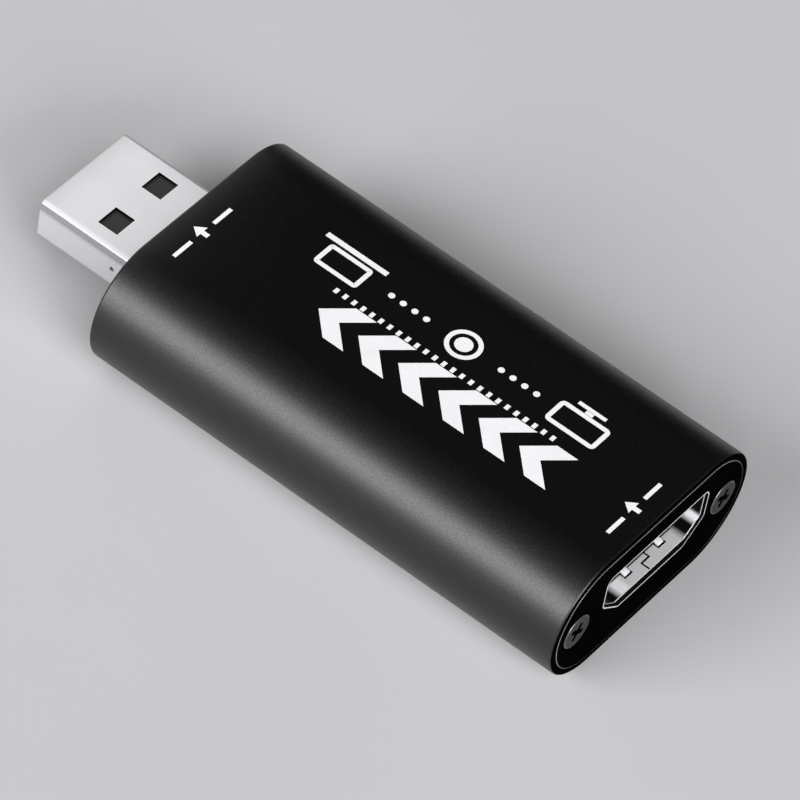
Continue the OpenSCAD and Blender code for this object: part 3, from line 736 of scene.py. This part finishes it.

# %% [markdown]
# The finished model is copied four times, and each copy is turned to face out of its end and set
# where the imported model has its head. The cross is painted black as shade, and the rounded rim is
# painted lighter as a highlight.

# %% Set four screws in place
SCREWED_ENDS = (("front_plate", "socket_end", -1), ("rear_plate", "plug_end", 1))
SIDES = ((-1, "left"), (1, "right"))


def outer_y(node, way):
    """Where a node ends along Y, on the socket's side or on the plug's."""
    low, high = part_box(node)
    return low.y if way < 0 else high.y


def facing_out(way):
    """The turn that points a screw's head out of an end."""
    return (-way * math.pi / 2, 0, 0)


def from_head(face, head):
    """How far a face lies from a screw's axis, and how far below its head's top."""
    middle = face.calc_center_median()
    return math.hypot(middle.x - head.x, middle.z - head.z), abs(head.y) - abs(middle.y)


def in_recess(face, head):
    """Whether a face lies in the cross, below the head's top."""
    reach, depth = from_head(face, head)
    return reach < RECESS_SPAN / 2 and NICK < depth < RECESS_DEPTH + NICK


def on_rim(face, head):
    """Whether a face is on the rounded edge of the head."""
    return from_head(face, head)[0] > HEAD_R - HEAD_ROUND


for plate_node, end_name, way in SCREWED_ENDS:
    node = plate_node + "_screws"
    for side, side_name in SIDES:
        head = Vector((side * boss_x, outer_y(node, way), mid_z))
        copy = another(screw)
        copy.rotation_euler = facing_out(way)
        place(copy, end_name + "_screw_" + side_name, head)
        dress(copy, "screw_steel", nodes=[node])
        # Painted shade in the cross recess.
        paint(copy, "painted_shade_black", lambda face: in_recess(face, head))
        # Painted highlight on the head's rounded rim.
        paint(copy, "screw_rim_highlight", lambda face: on_rim(face, head))
bpy.data.objects.remove(screw)

# %% [markdown]
# ## The mouth's outline
#
# A video socket's mouth has slanted lower corners, which let a plug go in one way up only. The
# plate around it and the socket's shell both need that outline, so it is made by a function:
# a box with two corners sliced off and every bend rounded. Unlike a filled curve, it easily takes
# other margins at its sides, top and bottom, as the flared lip needs.

# %% Draw the mouth's outline
MOUTH_W = 14.0 * MM
MOUTH_H = 4.55 * MM
MOUTH_DROP = 0.75 * MM
MOUTH_SLANT = 2.0 * MM
MOUTH_ROUND = 0.5 * MM
SOCKET_SHEET = 0.3 * MM
LIP_TOP = 0.16 * MM
BEND_FLATS = 6
MICRON_DIGITS = 6

shell_low, shell_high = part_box("socket_shell")
socket_x = (shell_low.x + shell_high.x) / 2
socket_z = shell_high.z - SOCKET_SHEET - LIP_TOP - MOUTH_H / 2
slant_turn = math.atan2(MOUTH_H / 2 - MOUTH_DROP, MOUTH_SLANT)


def bends_at(edge, height):
    """Whether an edge is a bend of the outline, at a height."""
    return runs_along(edge, Y) and abs(edge.verts[0].co.z - height) < NICK


def round_bends(block, radius):
    """In edit mode, rounds the six bends of the outline, row by row from below."""
    mesh = bmesh.from_edit_mesh(block.data)
    rows = sorted({round(corner.co.z, MICRON_DIGITS) for corner in mesh.verts})
    for row, turn in zip(rows, (slant_turn, math.pi / 2 - slant_turn, math.pi / 2)):
        reach = radius * math.tan(turn / 2)
        round_edges(block, lambda edge: bends_at(edge, row), reach, BEND_FLATS)


def mouth_block(name, margins, front, rear):
    """A solid with the mouth's outline, larger by the margins at its sides, top and bottom."""
    margin, top, bottom = margins
    half_w = MOUTH_W / 2 + margin
    half_h = MOUTH_H / 2
    low = (socket_x - half_w, front, socket_z - half_h - bottom)
    high = (socket_x + half_w, rear, socket_z + half_h + top)
    block = box(name, low, high)
    open_edit(block)
    for side in (-1, 1):
        facing = Vector((side * math.sin(slant_turn), 0, -math.cos(slant_turn)))
        knee = Vector((socket_x + side * MOUTH_W / 2, 0, socket_z - MOUTH_DROP))
        bpy.ops.mesh.select_all(action="SELECT")
        bpy.ops.mesh.bisect(
            plane_co=knee + facing * margin, plane_no=facing, use_fill=True, clear_outer=True)
    round_bends(block, MOUTH_ROUND + margin)
    close_edit()
    return block


print("mouth at z", round(socket_z / MM, 3), "slant", round(math.degrees(slant_turn), 1))

# %% [markdown]
# ## The end plates
#
# A plate is a slice of the sleeve's outline, a hair smaller than the rim around it, so it starts
# as the same rounded bar. One hole lets the socket's lip or the plug through, and the screw's own
# blank cuts two seats. Its outer edge is broken, and a thin grey highlight line is painted there.

# %% Model the plates
LIP_SIDE = 0.03 * MM
LIP_BOTTOM = 0.35 * MM
PLATE_GAP = 0.06 * MM
PLATE_ROUND = 0.06 * MM
SEAT_GAP = 0.05 * MM
PLUG_W = 12.0 * MM
PLUG_ROUND = 0.6 * MM
OVER = 1.0 * MM


def lip(margin):
    """The margins of the flared lip, moved outwards."""
    return tuple(SOCKET_SHEET + margin + flare for flare in (LIP_SIDE, LIP_TOP, LIP_BOTTOM))


def breaks_edge(face, face_y):
    """Whether a face slopes between the plate's outer face and its rim."""
    near = abs(face.calc_center_median().y - face_y) < PLATE_ROUND
    return near and slants(face, Y)


def end_plate(name, node, way, hole):
    """A plate that faces the way given, with its hole and two countersunk seats."""
    low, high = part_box(node)
    face_y = outer_y(node, way)
    plate = rounded_bar(name, low, high, (high.z - low.z) / 2, FLANK_FLATS)
    open_edit(plate)
    round_edges(plate, lambda edge: at(edge, Y, face_y), PLATE_ROUND, flats=3)
    close_edit()
    carve(plate, hole)
    for side in (-1, 1):
        seat = screw_blank("seat", OVER, gap=SEAT_GAP)
        only(seat)
        seat.rotation_euler = facing_out(way)
        carve(plate, place(seat, "seat", (side * boss_x, outer_y(node + "_screws", way), mid_z)))
    dress(plate, "black_plate", nodes=[node])
    # Painted highlight: a thin grey line on the plate's broken edge.
    paint(plate, "painted_grey_edge_line", lambda face: breaks_edge(face, face_y))


front_low, front_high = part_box("front_plate")
mouth_hole = mouth_block("hole", lip(PLATE_GAP), front_low.y - OVER, front_high.y + OVER)
end_plate("socket_end_plate", "front_plate", -1, mouth_hole)

plug_low, plug_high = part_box("plug_shell")
rear_low, rear_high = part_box("rear_plate")
hole_low = (-PLUG_W / 2 - PLATE_GAP, rear_low.y - OVER, plug_low.z - PLATE_GAP)
hole_high = (PLUG_W / 2 + PLATE_GAP, rear_high.y + OVER, plug_high.z + PLATE_GAP)
plug_hole = rounded_bar("hole", hole_low, hole_high, PLUG_ROUND + PLATE_GAP, BEND_FLATS)
end_plate("plug_end_plate", "rear_plate", 1, plug_hole)

# %% [markdown]
# ## The video socket's shell
#
# The real shell is stamped from bright sheet and folded round, and its mouth is flared, so that
# a plug finds its way in. The outside and the inside are each a block with a taper in front of
# it, and one is cut out of the other, which leaves a wall of even thickness. Where the flare meets
# the inside, a rolled edge catches the light, so that edge gets a narrow bevel of its own.

# %% Fold the shell and flare its lip
LIP_DEPTH = 0.25 * MM
LIP_EDGE = 0.12 * MM
LIP_ROLL = 0.04 * MM

mouth_y = shell_low.y
lip_y = mouth_y + LIP_DEPTH


def even(margin):
    """The same margin at the sides, the top and the bottom."""
    return (margin, margin, margin)


def mouth_taper(name, front_margins, rear_margins, front, rear):
    """A solid that goes from one mouth's outline at its front to another at its rear."""
    block = mouth_block(name, front_margins, front, rear)
    pattern = mouth_block("pattern", rear_margins, front, rear)
    for corner, target in zip(block.data.vertices, pattern.data.vertices):
        if corner.co.y > (front + rear) / 2:
            corner.co = target.co
    bpy.data.objects.remove(pattern)
    return block


def meets_slope(edge):
    """Whether an edge lies between the lip's slope and the inside of the mouth."""
    return at(edge, Y, lip_y) and any(face.normal.y < -SIDE_ON for face in edge.link_faces)


socket = mouth_block("folded_socket_shell", even(SOCKET_SHEET), lip_y - NICK, shell_high.y)
carve(socket, mouth_taper("lip", lip(0), even(SOCKET_SHEET), mouth_y, lip_y), "UNION")
carve(socket, mouth_block("inside", even(0), lip_y - NICK, shell_high.y + OVER))
carve(socket, mouth_taper("inside", lip(-LIP_EDGE), even(0), mouth_y - NICK, lip_y))
open_edit(socket)
round_edges(socket, meets_slope, LIP_ROLL, flats=1)
close_edit()
tell(socket, "folded shell")

# %% [markdown]
# The two edges of the folded sheet lock together in a stepped seam along the floor, which starts
# behind the lip. A ribbon that is pulled from side to side and then thickened cuts it.

# %% Cut the seam
SEAM_W = 0.18 * MM
SEAM_STEP = 1.1 * MM
SEAM_RUN = 2.9 * MM
SEAM_START = 1.2 * MM
SPRINGS = ("spring_top_left", "spring_top_right", "spring_bottom_left", "spring_bottom_right")

joints = frame["record"]["behaviour"]["joints"]
pivot = {joint["child"]: Vector(joint["pos_m"]) for joint in joints}
seam_x = sum(pivot[spring].x for spring in SPRINGS) / len(SPRINGS)
wall_out = (MOUTH_H + SOCKET_SHEET) / 2


def seam_ribbon():
    """A ribbon that steps from side to side along the floor, as wide as the seam."""
    first = lip_y + LIP_ROLL
    step_y = mouth_y + SEAM_START
    spot = (seam_x - SEAM_STEP / 2, (first + step_y) / 2, socket_z - wall_out)
    ribbon = strip("seam", spot, (2 * SOCKET_SHEET, step_y - first, 1), turn=(0, math.pi / 2, 0))
    open_edit(ribbon)
    pick(ribbon, "EDGE", lambda edge: at(edge, Y, step_y))
    sideways = SEAM_STEP
    while step_y < shell_high.y:
        pull((sideways, 0, 0))
        pull((0, SEAM_RUN, 0))
        step_y += SEAM_RUN
        sideways = -sideways
    close_edit()
    apply(ribbon, "SOLIDIFY", thickness=SEAM_W, offset=0, use_even_offset=True)
    return ribbon


carve(socket, seam_ribbon())
print("seam along x", round(seam_x / MM, 2), "mm")

# %% [markdown]
# Each spring leaf works in a window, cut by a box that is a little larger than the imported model's
# leaf. Four legs reach down to the board, and they are joined on a hair inside the wall's faces.

# %% Cut the windows and add the legs
SPRING_GAP = 0.17 * MM
LEG_W = 1.2 * MM
LEG_FROM_FRONT = 2.6 * MM
LEG_FROM_REAR = 2.2 * MM

for spring in SPRINGS:
    low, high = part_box(spring)
    wall_z = socket_z + (wall_out if "top" in spring else -wall_out)
    window_low = (low.x - SPRING_GAP, low.y - SPRING_GAP, wall_z - SOCKET_SHEET)
    window_high = (high.x + SPRING_GAP, high.y + SPRING_GAP, wall_z + SOCKET_SHEET)
    carve(socket, box("window", window_low, window_high))
leg_in = MOUTH_W / 2 + NICK
leg_out = MOUTH_W / 2 + SOCKET_SHEET - NICK
for leg_y in (mouth_y + LEG_FROM_FRONT, shell_high.y - LEG_FROM_REAR):
    for start, end in ((-leg_out, -leg_in), (leg_in, leg_out)):
        leg_low = (socket_x + start, leg_y - LEG_W / 2, shell_low.z)
        leg_high = (socket_x + end, leg_y + LEG_W / 2, socket_z)
        carve(socket, box("leg", leg_low, leg_high), "UNION")
tell(socket, "cut shell with legs")

# %% [markdown]
# ## Painted reflections and shade in bands
#
# Bright sheet in a folded corner mirrors its surroundings from nearly black to nearly white
# within a few millimetres, and the floor lies in the tongue's shade in the depth. Soft studio
# light alone leaves all that grey. So these reflections and that shade are painted into the colour,
# as soft steps along one of the object's own axes, and they stay where they are from any side.

# %% Paint reflections and the tongue's shade into the socket's sheet
# DARK and BRIGHT are levels of painted reflection; SATIN is the sheet's level between them, and
# BRIGHT also stands for no painted shade.
DARK, SATIN, BRIGHT = 0.004, 0.7, 1.0
PAINTED_REFLECTIONS = (
    (-7.0, DARK), (-4.4, DARK), (-3.6, BRIGHT), (-2.9, BRIGHT), (-2.4, SATIN), (4.75, SATIN),
    (5.4, DARK), (6.1, DARK), (6.55, BRIGHT), (6.85, BRIGHT), (7.0, DARK),
)
# Painted shadow of the tongue on the deeper floor.
TONGUE_SHADE = 0.06
TONGUE_SHADE_DEPTHS = ((0.0, BRIGHT), (1.7, BRIGHT), (1.8, TONGUE_SHADE), (2.0, TONGUE_SHADE))


def paint_light_in_bands(material, axis, origin, bands):
    """Paints light and shade into a sheet's colour by soft bands along an axis, each a place in mm
    and a level.
    """
    first, last = bands[0][0], bands[-1][0]
    nodes = material.node_tree.nodes
    link = material.node_tree.links.new
    colour = nodes["Principled BSDF"].inputs["Base Color"]
    shade = colour.links[0].from_socket
    spot = nodes.new("ShaderNodeTexCoord")
    split = nodes.new("ShaderNodeSeparateXYZ")
    across = nodes.new("ShaderNodeMapRange")
    fill(across, {"From Min": origin + first * MM, "From Max": origin + last * MM})
    levels = nodes.new("ShaderNodeValToRGB")
    stops = levels.color_ramp.elements
    while len(stops) < len(bands):
        stops.new(1)
    for stop, (where, level) in zip(stops, bands):
        stop.position = (where - first) / (last - first)
        stop.color = (level, level, level, 1)
    tint = nodes.new("ShaderNodeVectorMath")
    tint.operation = "MULTIPLY"
    link(spot.outputs["Object"], split.inputs["Vector"])
    link(split.outputs[axis], across.inputs["Value"])
    link(across.outputs["Result"], levels.inputs["Fac"])
    link(levels.outputs["Color"], tint.inputs[0])
    link(shade, tint.inputs[1])
    link(tint.outputs["Vector"], colour)
    print(material.name, "has", len(bands), "stops along", axis)


# Painted reflections across the socket, then the tongue's painted shadow along its depth.
paint_light_in_bands(finishes["socket_sheet"], "X", socket_x, PAINTED_REFLECTIONS)
paint_light_in_bands(finishes["socket_sheet"], "Y", mouth_y, TONGUE_SHADE_DEPTHS)

# %% [markdown]
# The slope of the lip and the cut edges of the seam and the windows are painted black as shade.
# The lip's front and its rolled inner edge are painted bright as highlights, and draw the two bright
# lines round the mouth.

# %% Dress the socket's shell


def slopes_in(face):
    """Whether a face is on the lip's slope, which faces forwards and into the mouth."""
    before_roll = face.calc_center_median().y < lip_y - LIP_ROLL
    return before_roll and face.normal.y < 0 and slants(face, Y)


def rolls_in(face):
    """Whether a face is on the narrow rolled edge where the slope meets the inside."""
    in_roll = abs(face.calc_center_median().y - lip_y) < LIP_ROLL
    return in_roll and face.normal.y < 0 and slants(face, Y)


def in_gap(face):
    """Whether a face is a cut edge of the seam or of a window."""
    middle = face.calc_center_median()
    within = mouth_y + NICK < middle.y < shell_high.y - NICK
    on_flat = abs(middle.x - socket_x) < MOUTH_W / 2 - MOUTH_SLANT
    return within and on_flat and is_side_on(face, Z)


dress(socket, "socket_sheet", nodes=["socket_shell"])
# Painted shade on the lip's slope and in the cut gaps of the seam and windows.
paint(socket, "painted_shade_black", lambda face: slopes_in(face) or in_gap(face))
# Painted highlight lines on the lip's front and its rolled inner edge.
paint(socket, "painted_bright_line", lambda face: rolls_in(face) or at(face, Y, mouth_y))

# %% [markdown]
# ## The spring leaves
#
# Four leaves press on a cable's plug. Each is a strip that slopes into the socket and turns out
# again at its tip, like a ski, so it isn't caught. A strip of sheet is easy to draw as a flat
# plane whose end edge is pulled along the bends and then given its thickness.

# %% Model one leaf
LEAF_W = 0.75 * MM
LEAF_T = 0.22 * MM
LEAF_ROUND = 0.04 * MM
LEAF_ROOT = 0.12 * MM
LEAF_RUN = 3.5 * MM
SKI_RUN = 0.5 * MM
LEAF_SLOPE = 5
SKI_SLOPE = -15
SKI_STEPS = 4
SHARP_ABOVE = math.radians(60)

slopes = [(LEAF_RUN - SKI_RUN / 2, LEAF_SLOPE)]
for step in range(1, SKI_STEPS + 1):
    slopes.append((SKI_RUN / SKI_STEPS, LEAF_SLOPE + (SKI_SLOPE - LEAF_SLOPE) * step / SKI_STEPS))
slopes.append((SKI_RUN / 2, SKI_SLOPE))
leaf = strip("bench_leaf", (0, LEAF_ROOT / 2, 0), (LEAF_W, LEAF_ROOT, 1))
open_edit(leaf)
pick(leaf, "EDGE", lambda edge: at(edge, Y, 0))
for run, slope_deg in slopes:
    lean = math.radians(slope_deg)
    pull((0, -run * math.cos(lean), run * math.sin(lean)))
close_edit()
apply(leaf, "SOLIDIFY", thickness=LEAF_T, offset=0, use_even_offset=True)
apply(leaf, "BEVEL", width=LEAF_ROUND, segments=2, limit_method="ANGLE", angle_limit=SHARP_ABOVE)
tell(leaf, "leaf")

# %% [markdown]
# The leaf has its root at the origin, so a copy only moves to its hinge, and it rides on its own
# body. The upper pair are turned over by a negative scale, which turns faces inside out, so their
# normals are made consistent again.

# %% Set four leaves in place
for spring in SPRINGS:
    copy = another(leaf)
    over = -1 if "top" in spring else 1
    place(copy, spring + "_leaf", pivot[spring], (1, 1, over))
    if over < 0:
        open_edit(copy)
        face_out()
        close_edit()
    dress(copy, "rubbed_sheet", body=spring, nodes=[spring])
bpy.data.objects.remove(leaf)

# %% [markdown]
# ## The host plug's shell
#
# This shell is folded from plated sheet too, to a flat tube with rounded corners. It is the
# sleeve's recipe again: a rounded bar, two insets and a bridge, and a small round at the tip. Two
# latch windows go through its top and two through its bottom, and a small hole in each side pins
# the plastic inside. Two wings reach out at its rear to be soldered to the board.

# %% Model the plug's shell
PLUG_SHEET = 0.3 * MM
TIP_ROUND = 0.07 * MM
WINDOW_X = 3.0 * MM
WINDOW_W = 2.5 * MM
WINDOW_LEN = 2.2 * MM
WINDOW_BACK = 5.16 * MM
PIP_R = 0.25 * MM
PIP_BACK = 8.5 * MM
WING_LEN = 2.0 * MM


def rings_tip(edge):
    """Whether an edge runs round the plug's tip, on the outside or on the inside."""
    return at(edge, Y, plug_high.y) and any(is_side_on(face, Y) for face in edge.link_faces)


tube_low = (-PLUG_W / 2, plug_low.y, plug_low.z)
tube_high = (PLUG_W / 2, plug_high.y, plug_high.z)
plug = rounded_bar("folded_plug_shell", tube_low, tube_high, PLUG_ROUND, BEND_FLATS)
open_edit(plug)
for way in (-1, 1):
    pick(plug, "FACE", lambda face: looks(face, Y, way))
    bpy.ops.mesh.inset(thickness=PLUG_SHEET)
bore_through(plug)
round_edges(plug, rings_tip, TIP_ROUND, flats=2)
close_edit()
window_rear = plug_high.y - WINDOW_BACK
for side in (-1, 1):
    latch_low = (side * WINDOW_X - WINDOW_W / 2, window_rear - WINDOW_LEN, plug_low.z - OVER)
    latch_high = (side * WINDOW_X + WINDOW_W / 2, window_rear, plug_high.z + OVER)
    carve(plug, box("latch", latch_low, latch_high))
plug_mid = (plug_low.z + plug_high.z) / 2
pip_y = plug_high.y - PIP_BACK
carve(plug, rod("pip", X, PIP_R, (-PLUG_W, pip_y, plug_mid), (PLUG_W, pip_y, plug_mid), flats=24))
board_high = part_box("circuit_board")[1]
wing_mid = (plug_low.y + board_high.y) / 2
wing_in = PLUG_W / 2 - PLUG_SHEET / 2
for start, end in ((plug_low.x, -wing_in), (wing_in, plug_high.x)):
    wing_low = (start, wing_mid - WING_LEN / 2, board_high.z)
    wing_high = (end, wing_mid + WING_LEN / 2, board_high.z + PLUG_SHEET)
    carve(plug, box("wing", wing_low, wing_high), "UNION")
tell(plug, "plug")

# %% [markdown]
# Along each upper fold of the plug a bright highlight line is painted, and just below it a painted
# shaded line that fades down the side. They are laid in as bands along Z, as in the socket. The
# cut edges of the latch windows are painted black as shade.

# %% Dress the plug's shell
PAINTED_FOLD_LIGHT = (
    (-1.5, 1.0), (-1.2, 0.93), (-0.8, 0.53), (-0.45, 0.55),
    (-0.3, 0.26), (-0.17, 0.28), (-0.07, 1.15), (0.0, 1.0),
)


def in_window(face):
    """Whether a face is a cut edge of a latch window."""
    middle = face.calc_center_median()
    across = abs(abs(middle.x) - WINDOW_X) < WINDOW_W / 2 + NICK
    along = window_rear - WINDOW_LEN - NICK < middle.y < window_rear + NICK
    return across and along and is_side_on(face, Z)


# Painted highlight and shade along the plug's upper folds.
paint_light_in_bands(finishes["plug_sheet"], "Z", plug_high.z, PAINTED_FOLD_LIGHT)
dress(plug, "plug_sheet", nodes=["plug_shell"])
# Painted shade on the cut edges of the latch windows.
paint(plug, "painted_shade_black", in_window)

# %% [markdown]
# ## The print
#
# The top face carries white screen print. It is drawn here as plain signs that need no words:
# bold chevrons that run from the socket to the plug, a fine row of ticks, a screen and a laptop
# with a recording dot between them, and an arrow at each end. Real ink has a thickness, and flat
# patches raised by a hair keep a sharper edge than paint in a texture. Places and sizes on the
# face are given in millimetres, across and along.

# %% Draw flat patches of ink


def patch(low, high):
    """A flat patch between two corners of the top face, each given across and along."""
    low, high = Vector((*low, 0)) * MM, Vector((*high, 0)) * MM
    middle = (low + high) / 2 + Vector((0, 0, sleeve_high.z))
    return strip("patch", middle, (*(high - low).xy, 1))


def disc(across, along, radius):
    """A round patch."""
    bpy.ops.object.select_all(action="DESELECT")
    bpy.ops.mesh.primitive_circle_add(vertices=32, radius=radius * MM, fill_type="NGON")
    return place(bpy.context.active_object, "disc", (across * MM, along * MM, sleeve_high.z))


def hollow(flat, stroke, corner=0):
    """Rounds the corners of a patch and leaves only a line round its edge."""
    open_edit(flat)
    bpy.ops.mesh.select_all(action="SELECT")
    if corner:
        bpy.ops.mesh.bevel(offset=corner * MM, segments=5, affect="VERTICES")
    pick(flat, "FACE", lambda face: True)
    bpy.ops.mesh.inset(thickness=stroke * MM)
    bpy.ops.mesh.delete(type="FACE")
    close_edit()
    return flat


print("patches: patch, disc, hollow")

# %% [markdown]
# A chevron is a patch that is split along its middle and moved forward there. An arrow is a patch
# whose front is merged to a point, with a shaft pulled out of the middle third of its back.

# %% Draw chevrons and arrows
ARROW_LENGTH = 1.3


def chevron(across, along, half, stroke):
    """A broad arrowhead without a shaft, pointing along +Y."""
    flat = patch((across - half, along), (across + half, along + stroke))
    open_edit(flat)
    pick(flat, "EDGE", lambda edge: runs_along(edge, X))
    bpy.ops.mesh.subdivide(number_cuts=1)
    pick(flat, "VERT", lambda corner: abs(corner.co.x - across * MM) < WELD)
    bpy.ops.transform.translate(value=(0, half * MM, 0))
    close_edit()
    return flat


def arrow(across, along, half, shaft):
    """An arrow along +Y, with its head's back at the place given."""
    tip = along + half * ARROW_LENGTH
    flat = patch((across - half, along), (across + half, tip))
    open_edit(flat)
    pick(flat, "VERT", lambda corner: abs(corner.co.y - tip * MM) < WELD)
    bpy.ops.mesh.merge(type="CENTER")
    pick(flat, "EDGE", lambda edge: at(edge, Y, along * MM))
    bpy.ops.mesh.subdivide(number_cuts=2)
    pick(flat, "EDGE", lambda edge: at(edge, Y, along * MM) and all(
        abs(corner.co.x - across * MM) < half / 2 * MM for corner in edge.verts))
    pull((0, -shaft * MM, 0))
    close_edit()
    return flat


print("pointers: chevron, arrow")

# %% [markdown]
# The patches of one sign are joined and given the ink's thickness together, so that a sign is one
# piece. The ink is matt and not quite full white, because a lit full white would lose its edge.

# %% Print the chevrons and the ticks
INK_T = 0.012 * MM
CHEVRONS = 6
CHEVRON_PITCH = 4.45
TICKS = 25
mix("white_ink", greys(0.74, 0.78), (0.45, 0.6), specular=0.4, grain=0.08, cloud=2, depth=0.001)


def print_mark(name, flats):
    """Joins patches into one mark, gives it the ink's thickness and its finish."""
    only(flats[0])
    for flat in flats[1:]:
        flat.select_set(True)
    bpy.ops.object.join()
    mark = bpy.context.active_object
    mark.name = name
    mark.data.name = name
    apply(mark, "SOLIDIFY", thickness=INK_T, offset=1)
    dress(mark, "white_ink")


print_mark("flow_chevrons", [
    chevron(-2.55, -16.8 + CHEVRON_PITCH * step, half=2.35, stroke=2.3) for step in range(CHEVRONS)])
print_mark("tick_row", [
    patch((-0.1, -13.9 + step), (0.5, -13.5 + step)) for step in range(TICKS)])

# %% [markdown]
# Beside the chevrons stands a chain of signs with one stroke: a screen on its foot, dots,
# a recording dot in a ring, more dots, and a laptop.

# %% Print the chain of signs
STROKE = 0.45
CHAIN_X = 3.2
DOT_STARTS = (-9.6, 2.6)
DOTS = 4
DOT_PITCH = 1.3
DOT_R = 0.32
RECORD_Y = -1.55

print_mark("screen_sign", [
    hollow(patch((1.5, -17.0), (4.4, -11.6)), STROKE, corner=0.5),
    patch((4.45, -14.7), (4.85, -13.9)),
    patch((4.9, -15.8), (5.3, -12.8))])
print_mark("signal_dots", [
    disc(CHAIN_X, start + DOT_PITCH * step, DOT_R) for start in DOT_STARTS for step in range(DOTS)])
print_mark("record_sign", [
    hollow(disc(CHAIN_X, RECORD_Y, radius=1.75), STROKE),
    disc(CHAIN_X, RECORD_Y, radius=0.85)])
print_mark("laptop_sign", [
    hollow(patch((1.5, 9.3), (4.3, 14.1)), STROKE, corner=0.4),
    patch((4.6, 8.3), (5.15, 15.1))])

# %% [markdown]
# Last, each port gets an arrow between two dashes, which shows the way of the signal.

# %% Print the arrows at the ports
ARROW_HALF = 0.75
ARROW_SHAFT = 0.7
DASH_BEFORE = 0.25
DASH_BEYOND = 0.15


def port_arrow(name, across, along, dashes):
    """An arrow between two dashes, each dash given by its two ends across the face."""
    flats = [arrow(across, along, ARROW_HALF, ARROW_SHAFT)]
    for start, end in dashes:
        flats.append(patch((start, along - DASH_BEFORE), (end, along + DASH_BEYOND)))
    print_mark(name, flats)


port_arrow("socket_arrow", -1.1, -23.5, ((-4.9, -2.6), (0.4, 2.7)))
port_arrow("plug_arrow", -2.85, 23.0, ((-6.8, -4.4), (-1.3, 1.1)))

# %% [markdown]
# ## The dressed part's box
#
# The dressed part's box is printed here, to set against the imported model's box printed at the
# start; only the ink's thickness should stand over the top.

# %% Print the dressed part's box
low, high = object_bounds()
print("visual box in mm:", [round(v / MM, 2) for v in (*low, *high)])
